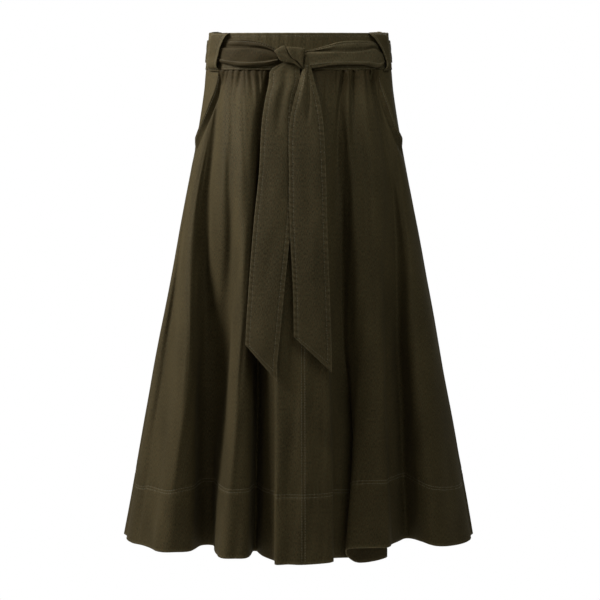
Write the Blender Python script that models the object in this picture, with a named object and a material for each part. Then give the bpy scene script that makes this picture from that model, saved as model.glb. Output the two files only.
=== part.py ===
"""A gathered A-line midi skirt with a faced waistband, an elasticated back and a tied sash belt.

Units are metres, +Z is up and the front faces -Y. The origin is the centre of the waist, half way up
the waistband. Each cut and sewn piece is one named object: a closed wall of cloth.

The skirt hangs from an oval waist over a flared oval base. FOLDS lists the lines of its folds, going
round from the left side seam across the front to the right side seam and back round behind. A point
of the cloth is named by its line number (a whole number on a line, a fraction between two) and its
height. Smooth curves through the lines give the section at that height.
"""

import math

import bmesh
import bpy
import numpy as np

MM = 0.001

# Driving sizes of the garment.
WAIST_HALF_WIDTH = 0.1385
WAIST_FRONT = 0.100          # from the centre of the waist to its front
WAIST_BACK = 0.102
BAND_HEIGHT = 0.054
SKIRT_DROP = 0.709           # from the waist seam to the level of the hem
CLOTH = 1.5 * MM             # wall of one layer of twill
HEM_CLOTH = 2.2 * MM         # wall where the hem is turned up and lies double
BAND_CLOTH = 2.0 * MM
SEAM_GAP = 0.3 * MM          # between two pieces that are sewn together
HEM_DEPTH = 0.096            # from the hem up to its topstitching
SEAM_Z = -BAND_HEIGHT / 2
BAND_TOP_Z = BAND_HEIGHT / 2
HEM_Z = SEAM_Z - SKIRT_DROP

# The oval that the folds stand out from: height, half width, depth in front, depth behind.
BASE = (
    (0.0290, 0.1328, 0.0990, 0.1000),
    (0.0000, 0.1350, 0.0993, 0.1003),
    (SEAM_Z, WAIST_HALF_WIDTH, WAIST_FRONT, WAIST_BACK),
    (-0.060, 0.1416, 0.1080, 0.1160),
    (-0.220, 0.1695, 0.1360, 0.1520),
    (-0.440, 0.2103, 0.1660, 0.1800),
    (HEM_Z, 0.2625, 0.1960, 0.2120),
)

# The heights at which the folds below are given.
FOLD_HEIGHTS = (SEAM_Z, -0.220, -0.440, HEM_Z)

# One row for each line of a fold, in order round the skirt.
# angle: degrees round from the centre front, at the seam, hip, knee and hem; + is to the right.
# out: millimetres outward from the oval at hip, knee and hem (it is 0 at the seam).
# lift: millimetres that the hem is raised there.
FOLDS = (
    # name                 seam    hip   knee    hem    hip   knee    hem  lift
    ("side_left",          -90.0, -90.0, -90.0, -90.0,   0.0,   0.0,   0.0,   2.0),
    ("flare_left_edge",    -82.0, -82.0, -77.4, -72.5,   0.5,   1.5,   1.0,   4.0),
    ("flare_left_dip",     -75.0, -77.9, -73.1, -63.5,   0.0,  -9.0,  -4.0,   5.0),
    ("flare_left_crest",   -68.0, -68.9, -53.1, -50.4,   2.5,   5.5,   9.0,   5.0),
    ("flare_left_turn",    -63.0, -64.2, -49.8, -43.7,   0.0,   1.5,   0.0,   6.0),
    ("flare_left_fold",    -60.0, -63.2, -49.8, -40.7,  -8.0, -14.0, -26.0,   5.0),
    ("pocket_valley",      -57.0, -59.9, -54.8, -45.6, -19.0, -42.0, -74.0,   4.0),
    ("hip_ridge",          -51.5, -42.1, -47.4, -40.1,   0.0, -54.0, -78.0,   4.0),
    ("hip_dip",            -46.0, -36.8, -36.8, -29.6,  -5.0, -46.0, -24.0,   4.0),
    ("tube_left_crest",    -40.5, -29.1, -25.9, -24.9,   5.0,  -2.0,   8.0,   6.0),
    ("tube_left_middle",   -35.0, -24.5, -22.6, -20.5,   3.0,   0.0,   6.0,   6.0),
    ("tube_left_turn",     -27.5, -22.7, -20.2, -16.6,  -6.0, -12.0,  -6.0,   6.0),
    ("deep_valley_left",   -21.0, -22.5, -20.2, -17.7, -22.0, -46.0, -66.0,   4.0),
    ("centre_left_rise",   -16.0, -17.7, -14.3, -12.5,  -7.0, -22.0, -34.0,   2.0),
    ("centre_left_crest",  -11.0, -13.6, -10.0,  -8.2,   1.0,   3.0,   8.0,   0.0),
    ("centre_left_dip",     -5.0,  -7.2,  -3.8,  -3.0,   1.0,   2.0,   5.0,   0.0),
    ("centre_front",         2.0,   1.8,   1.7,   1.5,   2.0,   5.0,   8.0,   0.0),
    ("centre_right_crest",  10.0,   8.4,   8.3,   6.9,   1.5,   3.0,   5.0,   1.0),
    ("centre_right_turn",   15.5,  14.2,  12.6,  11.1,  -2.0,   0.0,   0.0,   2.0),
    ("centre_right_drop",   18.5,  18.5,  16.3,  14.2, -15.0, -40.0, -56.0,  -4.0),
    ("deep_valley_right",   22.0,  24.1,  23.6,  41.6, -22.0, -58.0, -80.0, -13.0),
    ("fold_right_edge",     27.0,  26.2,  25.6,  23.1, -12.0, -44.0, -57.0, -12.0),
    ("fold_right_rise",     32.5,  28.1,  27.6,  17.1,   3.0, -28.0, -42.0,  10.0),
    ("fold_right_crest",    38.0,  34.4,  32.4,  23.8,  -1.0, -13.0, -24.0,  15.0),
    ("fold_right_turn",     43.5,  39.8,  37.4,  32.0,   5.0, -13.0, -20.0,  14.0),
    ("hip_ridge_right",     49.0,  49.4,  45.0,  39.0,  -3.0, -30.0, -50.0,  12.0),
    ("side_valley",         56.0,  61.2,  58.3,  53.8, -12.0, -40.0, -70.0,  12.0),
    ("flare_right_turn",    64.0,  63.3,  54.2,  48.3,  -2.0,  -7.0, -24.0,  16.0),
    ("flare_right_crest",   72.0,  66.7,  58.5,  50.6,   3.5,   5.0,   3.0,  12.0),
    ("flare_right_edge",    82.0,  82.0,  76.1,  64.9,   0.5,   1.0,   1.0,   6.0),
    ("side_right",          90.0,  90.0,  90.0,  90.0,   0.0,   0.0,   0.0,   2.0),
    ("back_turn_a",       100.0, 100.0, 100.0, 100.0,   2.0,   4.0,   7.0,   1.0),
    ("back_valley_a",     110.0, 110.0, 109.0, 108.0,  -5.0, -12.0, -24.0,   3.0),
    ("back_crest_b",      121.0, 121.0, 121.0, 120.0,   4.0,   6.0,  10.0,   0.0),
    ("back_turn_b",       130.0, 129.0, 129.5, 130.0,   2.0,   4.0,   6.0,   0.0),
    ("back_valley_b",     139.0, 137.0, 135.0, 134.0,  -8.0, -18.0, -36.0,   4.0),
    ("back_crest_c",      149.0, 147.0, 144.5, 143.0,   3.0,   5.0,   9.0,   0.0),
    ("back_turn_c",       159.0, 156.0, 154.5, 154.0,   3.0,   5.0,   8.0,   0.0),
    ("back_valley_c",     168.0, 164.0, 161.0, 158.5,  -7.0, -17.0, -34.0,   4.0),
    ("back_crest_d",      178.0, 174.0, 171.5, 169.0,   3.0,   5.0,  10.0,   0.0),
    ("back_turn_d",       188.0, 185.0, 185.0, 186.0,   3.0,   5.0,   9.0,   0.0),
    ("back_valley_d",     197.0, 194.0, 192.0, 190.5,  -8.0, -19.0, -38.0,   4.0),
    ("back_crest_e",      207.0, 204.0, 202.0, 200.0,   3.0,   5.0,   9.0,   0.0),
    ("back_turn_e",       217.0, 213.0, 212.0, 211.0,   3.0,   5.0,   7.0,   0.0),
    ("back_valley_e",     226.0, 222.0, 219.0, 216.0,  -7.0, -17.0, -34.0,   4.0),
    ("back_crest_f",      235.0, 232.0, 230.0, 228.0,   3.0,   6.0,   9.0,   0.0),
    ("back_turn_f",       244.0, 242.0, 242.0, 241.0,   2.0,   4.0,   6.0,   0.0),
    ("back_valley_f",     252.0, 252.0, 252.0, 250.0,  -5.0, -11.0, -24.0,   3.0),
    ("back_crest_g",      261.0, 261.0, 261.0, 260.0,   2.0,   4.0,   7.0,   1.0),
)
LINE = {row[0]: number for number, row in enumerate(FOLDS)}
LINES = len(FOLDS)
LINE_ANGLES = np.array([row[1:5] for row in FOLDS])
LINE_OUT = np.array([(0.0, *row[5:8]) for row in FOLDS]) * MM
HEM_LIFT = np.array([row[8] for row in FOLDS]) * MM

# Small gathers run down from the waist seam and fade out. They are spaced by the fold lines.
FRONT_GATHERS = 2            # gathers between two fold lines of the front
BACK_GATHERS = 3
GATHER_HEIGHT = 1.5 * MM
GATHER_FADE = 0.028          # how far down they fade
GATHER_ZONES = (             # line name, and how full the gathers are there
    ("side_left", 0.0), ("flare_left_fold", 0.0), ("pocket_valley", 1.0), ("deep_valley_left", 1.0),
    ("centre_left_rise", 0.4), ("centre_left_crest", 0.0), ("centre_right_turn", 0.0),
    ("deep_valley_right", 0.6), ("fold_right_edge", 1.0), ("hip_ridge_right", 1.0),
    ("side_valley", 0.3), ("flare_right_turn", 0.0), ("side_right", 0.0), ("back_turn_a", 1.0),
    ("back_crest_g", 1.0),
)

# The slanted pocket opening runs from the waist seam down to the side seam.
POCKET_ANGLE = 57.0          # where it leaves the waist seam, either side of the front
POCKET_DROP = 0.108          # how far down the side seam it ends
POCKET_CURVE = 0.72          # below 1 the slant starts steeper at the waist
POCKET_UNDERLAP = 0.014      # how far the pocket's facing reaches under the front
POCKET_LIP = 2.2 * MM        # the opening's edge stands this far off the facing's level
POCKET_LIP_WIDTH = 0.008
POCKET_TUCK = 6.0            # how far the facing reaches in past the opening's top, in degrees
POCKET_BLEND = 0.024         # above the opening, the facing comes out level with the side over this

# Rows of points down a panel, below the waist seam. Columns are halved after the first group.
GATHER_ROWS = (0.0, 0.007, 0.017, 0.032, 0.055)
PANEL_ROWS = (0.095, 0.150, 0.225, 0.320, 0.430, 0.540, 0.607, SKIRT_DROP)
FRONT_STEPS = 2              # columns from one fold line to the next, below the gathers
BACK_STEPS = 3

# The elasticated half of the waistband.
ELASTIC_WAVES = 34
ELASTIC_HEIGHT = 1.3 * MM
ELASTIC_RISE = 1.5 * MM      # its frilled edge stands this much above the front's
ELASTIC_ROWS = ((BAND_TOP_Z + ELASTIC_RISE, 1.0), (0.0, 0.7), (SEAM_Z + SEAM_GAP / 2, 0.8))
RUFFLED_FROM = 88.0          # degrees round, where the belt begins to ride on the ruffles
RUFFLED_OVER = 8.0

# The carrier loops at the sides: level (1 is the band's top, -1 its seam), front edge and back edge
# in degrees. They stand off the band at their front edge, where the belt goes in.
LOOP_CLOTH = 1.4 * MM
LOOP_FRONT_STAND_OFF = 6.4 * MM
LOOP_BACK_STAND_OFF = 4.4 * MM
LOOP_ROWS = (1.0, 0.93, 0.80, 0.5, 0.0, -0.5, -0.86, -0.99, -1.06)
LOOP_ARCH = 9                # how squarely the loop stands off between its sewn ends
LOOP_LEFT = (
    (1.00, -49.0, -71.0), (0.55, -52.5, -71.0), (0.0, -55.5, -71.0), (-0.55, -57.0, -71.0),
    (-1.08, -57.0, -71.0),
)
LOOP_RIGHT = (
    (1.00, 49.0, 71.0), (0.55, 54.5, 71.5), (0.0, 60.5, 72.0), (-0.55, 64.0, 72.5),
    (-1.08, 64.0, 72.5),
)

BELT_CLOTH = 2.0 * MM        # the belt is sewn double
BELT_BACK_FROM = 62.6        # degrees, under each loop
BELT_BACK_HALF_WIDTH = 0.0165
BELT_BACK_EASE = 0.5 * MM    # clear of the ruffles behind
BELT_LAY = BAND_CLOTH / 2 + 2 * SEAM_GAP   # its inner face, out from the band's middle

# The section of a front stretch of the belt, from its top edge over the crease to its bottom edge: the
# share of the way from the layer's own edge to the crease, whether it is on the lower layer, and how
# far out it lies from the front layer, in millimetres. The layers turn into each other at the crease.
BELT_SECTION = (
    (0.00, False, -2.6), (0.50, False, -2.2), (1.00, False, -1.8), (1.00, True, 0.0),
    (0.65, True, 0.3), (0.25, True, -0.2), (0.00, True, -1.6),
)
BELT_TURN = 0.2 * MM         # how much higher the lower layer turns than the upper one ends
BELT_CLEAR = 1.2 * MM        # the least its face stands out from where its back may lie

# The left stretch of the belt, from the loop to the knot: angle, top, bottom, crease height
# and how far the front layer stands out, in millimetres apart from the angle.
BELT_LEFT = (
    (-61.0, 17.6, -13.5,  4.2, 4.2), (-52.0, 17.6, -15.5,  4.2, 4.4), (-42.0, 17.4, -18.0,  4.2, 5.2),
    (-33.0, 17.4, -20.0,  4.0, 6.0), (-25.0, 14.6, -20.0,  3.6, 6.8), (-18.0, 7.4, -17.4,  1.6, 7.8),
    (-12.2, 0.4, -12.2, -3.0, 8.3),
)
# The right stretch, from the knot to where its front layer rounds off before the loop.
BELT_RIGHT = (
    (3.2, -4.0, -13.0, -7.0, 8.2), (6.0, -1.6, -23.0, -2.4, 8.6), (11.0, 1.6, -23.6, -1.2, 9.0),
    (17.0, 5.4, -20.6, -1.0, 9.0), (25.0, 12.6, -18.8, -0.8, 9.0), (35.0, 15.4, -18.4, -0.2, 8.6),
    (45.0, 15.6, -19.6, 1.0, 8.0), (53.0, 15.0, -22.2, 0.6, 7.2), (59.0, 14.0, -16.6, -3.0, 4.4),
)

# The two tails: height, left edge and right edge across the front, distance of the outer face from
# the skirt's oval at the left edge, the ridge and the right edge, all in millimetres.
TAIL_RIDGE = 0.38            # where the lengthwise ridge or trough lies across a tail
TAIL_LEFT = (
    (-16.0, -23.0,  -3.0,  8.4,  8.4,  8.4), (-25.0, -38.6,   1.0,  8.8,  9.4,  8.0),
    (-47.0, -42.9,   0.5,  9.8, 11.4,  7.4), (-63.0, -47.2,  -4.5, 10.0, 12.0,  7.4),
    (-99.0, -53.0, -8.5,  9.6, 10.8,  9.4), (-177.0, -57.6, -8.0, 10.4, 11.6, 10.4),
    (-237.0, -64.0, -10.0, 11.0, 12.6, 11.2), (-297.0, -69.2, -16.0, 11.6, 12.4, 12.0),
    (-344.0, -72.6, -20.8, 12.0, 13.0, 12.4), (-402.0, -76.2, -26.4, 12.6, 13.6, 13.0),
    (-447.0, -77.6, -31.0, 13.0, 13.8, 13.4),
)
TAIL_RIGHT = (
    (-8.0,    9.2,  11.2, 10.8, 11.2, 10.8), (-20.0,   7.4,  16.8, 11.0, 12.8, 11.0),
    (-33.0,   3.4,  20.6, 11.6, 14.0, 11.4), (-50.0,  -1.2,  24.8, 12.2, 14.4, 12.0),
    (-68.0,  -6.4,  29.6, 12.6, 14.2, 12.2), (-99.0, -12.6,  35.0, 12.8, 13.8, 12.8),
    (-177.0, -14.2, 39.4, 13.4, 15.2, 14.0), (-260.0, -12.4, 41.6, 14.0, 15.6, 14.6),
    (-344.0, -8.2,  44.6, 14.6, 16.4, 15.2), (-434.0, -6.6,  47.8, 15.2, 16.2, 15.8),
)
TAIL_POINT = 0.051           # a tail's long edge reaches this much lower than its short edge
TAIL_ACROSS = (0.0, 0.16, TAIL_RIDGE, 0.52, 0.76, 1.0)
TAIL_FOLDED = 0.2            # share of its length over which a tail is still folded, near the knot

TWILL = (0.062, 0.050, 0.030, 1.0)
TWILL_DARK = (0.050, 0.040, 0.024, 1.0)


# ---------------------------------------------------------------- curves

def through(knots, values, at):
    """Smooth curves through the values given at rising knots, read at other places."""
    knots, values, at = np.asarray(knots), np.asarray(values, float), np.asarray(at, float)
    step = np.diff(knots)
    chord = np.diff(values, axis=0) / step.reshape(-1, *([1] * (values.ndim - 1)))
    slope = np.concatenate([chord[:1], (chord[1:] + chord[:-1]) / 2, chord[-1:]])
    i = np.clip(np.searchsorted(knots, at, side="right") - 1, 0, len(knots) - 2)
    h = step[i]
    s = np.clip((at - knots[i]) / h, 0.0, 1.0)
    shape = s.shape + (1,) * (values.ndim - 1)
    h, s = h.reshape(shape), s.reshape(shape)
    return ((1 + 2 * s) * (1 - s) ** 2 * values[i] + s * (1 - s) ** 2 * h * slope[i]
            + s * s * (3 - 2 * s) * values[i + 1] + s * s * (s - 1) * h * slope[i + 1])


def between_lines(line, values, turn=0.0):
    """Smooth closed curves through one value a line; turn is what a whole round adds."""
    first = np.floor(line).astype(int)
    s = line - first
    p = [np.take_along_axis(values, ((first + k) % LINES)[:, None], 1)[:, 0]
         + turn * ((first + k) // LINES) for k in (-1, 0, 1, 2)]
    return 0.5 * (2 * p[1] + (p[2] - p[0]) * s + (2 * p[0] - 5 * p[1] + 4 * p[2] - p[3]) * s ** 2
                  + (3 * p[1] - p[0] - 3 * p[2] + p[3]) * s ** 3)


BASE_ROWS = np.array(BASE[::-1])
FOLD_LEVELS = np.array(FOLD_HEIGHTS[::-1])


def oval(angle, z, out):
    """Points at angles (degrees) round the skirt's oval at heights z, moved outward by out."""
    width, front, back = through(BASE_ROWS[:, 0], BASE_ROWS[:, 1:], z).T
    a = np.radians(angle)
    depth = np.where(np.cos(a) > 0, front, back)
    nx, ny = np.sin(a) / width, -np.cos(a) / depth
    length = np.hypot(nx, ny)
    return np.stack([width * np.sin(a) + out * nx / length,
                     -depth * np.cos(a) + out * ny / length, z + 0 * a], axis=1)


def seam_angle(line):
    """The angle at the waist seam of each line number."""
    line = np.asarray(line, float)
    values = np.broadcast_to(LINE_ANGLES[:, 0], (len(line), LINES))
    return between_lines(line, values, 360.0)


def gathers(line, z):
    """How far the gathers under the waist seam push the cloth in or out."""
    place = [LINE[name] for name, _ in GATHER_ZONES] + [LINES]
    full = np.interp(np.mod(line, LINES), place, [share for _, share in GATHER_ZONES] + [0.0])
    count = np.where(np.mod(line, LINES) < LINE["side_right"], FRONT_GATHERS, BACK_GATHERS)
    uneven = 1.0 + 0.35 * np.sin(line * 2.3) + 0.25 * np.sin(line * 5.1 + 1.0)
    drop = np.maximum(SEAM_Z - z, 0.0)
    wave = np.cos(2 * math.pi * count * line)
    return -full * GATHER_HEIGHT * wave * np.exp(-drop / (GATHER_FADE * uneven))


def pocket_edge(angle):
    """Height of the front panel's top edge: the waist seam, and the slant of the pocket opening."""
    start = math.sin(math.radians(POCKET_ANGLE))
    share = np.clip((np.abs(np.sin(np.radians(angle))) - start) / (1.0 - start), 0.0, 1.0)
    return SEAM_Z - POCKET_DROP * share ** POCKET_CURVE


def pocket_lip(line, z):
    """The pocket opening's edge stands off a little, with a soft trough behind it."""
    angle = seam_angle(line)
    below = pocket_edge(angle) - z
    side = np.abs(angle)
    near = np.clip((side - POCKET_ANGLE + 6.0) / 12.0, 0.0, 1.0) * np.clip((90.0 - side) / 10.0, 0.0, 1.0)
    lip = np.exp(-(below / POCKET_LIP_WIDTH) ** 2)
    trough = np.exp(-((below - 2.6 * POCKET_LIP_WIDTH) / (1.3 * POCKET_LIP_WIDTH)) ** 2)
    return near * POCKET_LIP * (lip - 0.9 * trough)


def skirt_surface(line, z, detail=True):
    """Points of the skirt's outer face at line numbers and heights, with or without fine gathers."""
    line, z = np.asarray(line, float), np.asarray(z, float)
    angles = through(FOLD_LEVELS, LINE_ANGLES.T[::-1], z)
    outs = through(FOLD_LEVELS, LINE_OUT.T[::-1], z)
    out = between_lines(line, outs)
    if detail:
        out = out + gathers(line, z) + pocket_lip(line, z)
    return oval(between_lines(line, angles, 360.0), z, out)


def unit(vectors):
    return vectors / np.linalg.norm(vectors, axis=1, keepdims=True)


def skirt_frame(line, z):
    """Unit directions along the section and out of the large folds, at each point."""
    e, h = 0.02, 0.002
    across = skirt_surface(line + e, z, False) - skirt_surface(line - e, z, False)
    up = skirt_surface(line, z + h, False) - skirt_surface(line, z - h, False)
    return unit(across), unit(np.cross(across, up))


# ---------------------------------------------------------------- meshes

def add_object(name, points, faces, material):
    mesh = bpy.data.meshes.new(name)
    mesh.from_pydata([tuple(p) for p in points], [], faces)
    mesh.validate()
    mesh.materials.append(material)
    mesh.shade_smooth()
    mesh.set_sharp_from_angle(angle=math.radians(50))
    made = bpy.data.objects.new(name, mesh)
    bpy.context.scene.collection.objects.link(made)
    return made


def sheet_faces(counts, start, outward):
    """Faces of a sheet of rows with these point counts; a row may have half the points above it."""
    faces, above = [], start
    for upper, lower in zip(counts, counts[1:]):
        below = above + upper
        for j in range(lower - 1):
            if upper == lower:
                faces.append((above + j, below + j, below + j + 1, above + j + 1))
            else:
                faces.append((above + 2 * j, below + j, above + 2 * j + 1))
                faces.append((above + 2 * j + 1, below + j, below + j + 1))
                faces.append((above + 2 * j + 1, below + j + 1, above + 2 * j + 2))
        above = below
    return faces if outward else [face[::-1] for face in faces]


def add_wall(name, outer, inner, material):
    """A closed wall between two sheets of rows of points; rows run down, points run + round."""
    counts = [len(row) for row in outer]
    total = sum(counts)
    faces = sheet_faces(counts, 0, True) + sheet_faces(counts, total, False)
    last = total - counts[-1]
    for j in range(counts[0] - 1):
        faces.append((j, j + 1, total + j + 1, total + j))
    for j in range(counts[-1] - 1):
        faces.append((last + j + 1, last + j, total + last + j, total + last + j + 1))
    start = 0
    for upper, lower in zip(counts, counts[1:]):
        below = start + upper
        faces.append((start, total + start, total + below, below))
        a, b = start + upper - 1, below + lower - 1
        faces.append((a, b, total + b, total + a))
        start = below
    return add_object(name, np.concatenate([*outer, *inner]), faces, material)


def material(name, colour, roughness):
    made = bpy.data.materials.new(name)
    made.use_nodes = True
    shader = made.node_tree.nodes["Principled BSDF"]
    shader.inputs["Base Color"].default_value = colour
    shader.inputs["Roughness"].default_value = roughness
    shader.inputs["Metallic"].default_value = 0.0
    return made


# ---------------------------------------------------------------- the skirt's panels

def panel_lines(first, last, steps):
    """Line numbers of a panel's columns, evenly between each pair of fold lines."""
    return np.linspace(first, last, (last - first) * steps + 1)


def at_edges(points, across):
    """Draws a row's two ends in by half the seam gap, along the cloth."""
    points[0] += across[0] * SEAM_GAP / 2
    points[-1] -= across[-1] * SEAM_GAP / 2
    return points


def wall_rows(lines_of_row, heights_of_row, thickness_of_row):
    """Outer and inner rows of a panel: the skirt's face, and the same moved in by the cloth."""
    outer, inner = [], []
    for line, z, thick in zip(lines_of_row, heights_of_row, thickness_of_row):
        across, out = skirt_frame(line, z)
        face = at_edges(skirt_surface(line, z), across)
        outer.append(face)
        inner.append(face - out * thick)
    return outer, inner


def make_panel(name, first, last, steps, twill, has_pocket):
    """A panel from one fold line to another, from the waist seam to the hem."""
    fine = panel_lines(first, last, steps * 2)
    lines, heights, thickness = [], [], []
    for drop in GATHER_ROWS + PANEL_ROWS:
        line = fine if drop in GATHER_ROWS else fine[::2]
        top = np.full(len(line), SEAM_Z - SEAM_GAP / 2)
        if has_pocket:
            top = pocket_edge(seam_angle(line)) - SEAM_GAP / 2
        lift = between_lines(line, np.broadcast_to(HEM_LIFT, (len(line), LINES)))
        lines.append(line)
        heights.append(top + (HEM_Z + lift - top) * drop / SKIRT_DROP)
        thickness.append(CLOTH if drop < SKIRT_DROP - HEM_DEPTH - MM else HEM_CLOTH)
    return add_wall(name, *wall_rows(lines, heights, thickness), twill)


def make_pocket_facing(name, first, last, twill):
    """The facing that fills the corner cut away at a slanted pocket, tucked under the front panel."""
    line = panel_lines(first, last, 4)
    line = line[np.abs(seam_angle(line)) > POCKET_ANGLE - POCKET_TUCK]
    top = np.full(len(line), SEAM_Z - SEAM_GAP / 2)
    bottom = pocket_edge(seam_angle(line)) - POCKET_UNDERLAP
    outer, inner = [], []
    for share in np.linspace(0.0, 1.0, 7):
        z = top + (bottom - top) * share
        across, out = skirt_frame(line, z)
        above = np.clip((z - pocket_edge(seam_angle(line))) / POCKET_BLEND, 0.0, 1.0)
        level = skirt_surface(line, z, False) - out * (POCKET_LIP + CLOTH + SEAM_GAP) * (1 - above)[:, None]
        face = at_edges(level, across)
        outer.append(face)
        inner.append(face - out * CLOTH)
    return add_wall(name, outer, inner, twill)


# ---------------------------------------------------------------- waistband, loops and belt

def band_ring(angle, z, out):
    """Points round the waist at one height, or at a height for each, out from the band's middle."""
    return oval(angle, np.full(len(angle), z) if np.isscalar(z) else z, out)


def make_band_front(twill):
    """The flat, faced front of the waistband, from side seam to side seam."""
    angle = np.linspace(-90.0, 90.0, 49)
    outer, inner = [], []
    edge = math.degrees(SEAM_GAP / 2 / WAIST_FRONT)
    angle[0] += edge
    angle[-1] -= edge
    for z in (BAND_TOP_Z, 0.0, SEAM_Z + SEAM_GAP / 2):
        outer.append(band_ring(angle, z, BAND_CLOTH / 2))
        inner.append(band_ring(angle, z, -BAND_CLOTH / 2))
    return add_wall("waistband_front", outer, inner, twill)


def make_band_back(twill):
    """The elasticated back of the waistband, drawn into upright ruffles."""
    edge = math.degrees(SEAM_GAP / 2 / WAIST_BACK)
    angle = np.linspace(90.0 + edge, 270.0 - edge, ELASTIC_WAVES * 4 + 1)
    share = (angle - 90.0) / 180.0
    ends = np.clip(np.minimum(share, 1 - share) * 16, 0.0, 1.0)
    wave = ends * ELASTIC_HEIGHT * np.sin(2 * math.pi * ELASTIC_WAVES * share + 0.7 * np.sin(19 * share))
    outer, inner = [], []
    for z, full in ELASTIC_ROWS:
        outer.append(band_ring(angle, z, BAND_CLOTH / 2 + full * wave))
        inner.append(band_ring(angle, z, -BAND_CLOTH / 2 + full * wave))
    return add_wall("waistband_back", outer, inner, twill)


def make_loop(name, edges, twill):
    """A carrier loop: a strip sewn down above and below, standing off the band between."""
    table = np.array(edges)[::-1]
    across = np.linspace(0.0, 1.0, 7)
    outer, inner = [], []
    for level in LOOP_ROWS:
        front, back = through(table[:, 0], table[:, 1:], level)
        arch = 1 - min(1.0, abs(level)) ** LOOP_ARCH
        raised = arch * (LOOP_FRONT_STAND_OFF + (LOOP_BACK_STAND_OFF - LOOP_FRONT_STAND_OFF) * across)
        out = BAND_CLOTH / 2 + SEAM_GAP + raised
        angle = front + (back - front) * across
        z = level * BAND_HEIGHT / 2
        if front > back:
            angle, out = angle[::-1], out[::-1]
        outer.append(band_ring(angle, z, out + LOOP_CLOTH))
        inner.append(band_ring(angle, z, out))
    return add_wall(name, outer, inner, twill)


def make_belt_back(twill):
    """The stretch of the belt that lies on the band from loop to loop round the back."""
    angle = np.linspace(BELT_BACK_FROM, 360.0 - BELT_BACK_FROM, 61)
    ruffled = np.clip((np.minimum(angle, 360.0 - angle) - RUFFLED_FROM) / RUFFLED_OVER, 0.0, 1.0)
    lay = BELT_LAY + ruffled * (ELASTIC_HEIGHT + BELT_BACK_EASE)
    outer, inner = [], []
    for level in (1.0, 0.0, -1.0):
        z = level * BELT_BACK_HALF_WIDTH
        inner.append(band_ring(angle, z, lay))
        outer.append(band_ring(angle, z, lay + BELT_CLOTH))
    return add_wall("belt_back", outer, inner, twill)


def make_belt_stretch(name, table, twill):
    """A stretch of the belt creased lengthwise, its lower layer lying over its upper one."""
    rows = np.array(table)
    angle = np.linspace(rows[0, 0], rows[-1, 0], 25)
    top, bottom, crease, stand = (through(rows[:, 0], rows[:, 1:] * MM, angle)).T
    outer, inner = [], []
    for share, is_lower, offset in BELT_SECTION:
        edge = bottom if is_lower else top
        z = edge + (crease - edge) * share
        if is_lower and share == 1.0:
            z = z + BELT_TURN
        out = np.maximum(stand + offset * MM, BELT_LAY + BELT_CLEAR)
        outer.append(band_ring(angle, z, out))
        inner.append(band_ring(angle, z, np.maximum(out - 2 * BELT_CLOTH, BELT_LAY)))
    return add_wall(name, outer, inner, twill)


def tail_point(x, z, out):
    """A point in front of the skirt at x and z, out from its oval."""
    width, front, _ = through(BASE_ROWS[:, 0], BASE_ROWS[:, 1:], z).T
    angle = np.degrees(np.arcsin(x / width))
    at = oval(angle, z, out)
    return np.stack([x, at[:, 1], z], axis=1)


def make_tail(name, table, twill):
    """One hanging end of the belt, with a slanted end that is longest on its right edge."""
    rows = np.array(table)[::-1] * MM
    across = np.array(TAIL_ACROSS)
    top, low = rows[-1, 0], rows[0, 0]
    outer, inner = [], []
    shares = np.concatenate([np.linspace(0.0, TAIL_FOLDED, 6)[:-1], np.linspace(TAIL_FOLDED, 1.0, 12)])
    for share in shares:
        z = top + (low - top) * share - TAIL_POINT * share ** 8 * (across - 0.5)
        left, right, at_left, at_ridge, at_right = through(rows[:, 0], rows[:, 1:], z).T
        x = left + (right - left) * across
        rise = np.sin(math.pi / 2 * np.minimum(across / TAIL_RIDGE, (1 - across) / (1 - TAIL_RIDGE)))
        out = at_left + (at_right - at_left) * across
        out = out + (at_ridge - (at_left + at_right) / 2) * rise ** 1.5
        outer.append(tail_point(x, z, out))
        inner.append(tail_point(x, z, out - BELT_CLOTH))
    return add_wall(name, outer, inner, twill)


# ---------------------------------------------------------------- the knot

# Outlines of the knot's lumps across the front, x and z in millimetres: the wrap that crosses from
# upper left to lower right, the fold that comes over the top of it, and what they are tied round.
WRAP = (
    (-34.0, 2.0), (-29.0, 4.6), (-22.8, 8.0), (-17.0, 5.6), (-14.4, -2.0), (-10.0, -9.4), (-3.0, -15.4),
    (4.4, -24.0), (1.0, -21.6), (-2.4, -18.6), (-9.5, -16.6), (-18.2, -15.8), (-26.4, -12.0), (-30.0, -5.0),
)
FOLD_OVER = (
    (-17.4, 6.2), (-4.0, 6.6), (8.2, 4.6), (7.4, -3.0), (6.2, -10.0), (5.2, -18.0), (4.2, -23.0),
    (1.8, -19.6), (-2.2, -15.0), (-8.0, -10.4), (-13.0, -4.6), (-16.4, 0.6),
)
CORE = ((-20.0, 3.0), (4.0, 2.0), (4.0, -13.0), (-20.0, -13.0))
KNOT_BACK = 9.3 * MM         # where the knot's inner face lies, out from the band
CORE_BACK = 2.2 * MM         # the inside of what it is tied round, just clear of the band
KNOT_RIM = 12.0 * MM
KNOT_CROWN = 16.0 * MM
WRAP_BELOW = 2.0 * MM        # the wrap's crown lies this much below the fold's
KNOT_RINGS = ((1.0, 0.0), (0.86, 0.55), (0.5, 0.92))   # of a lump: size, and share of its rise


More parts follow.
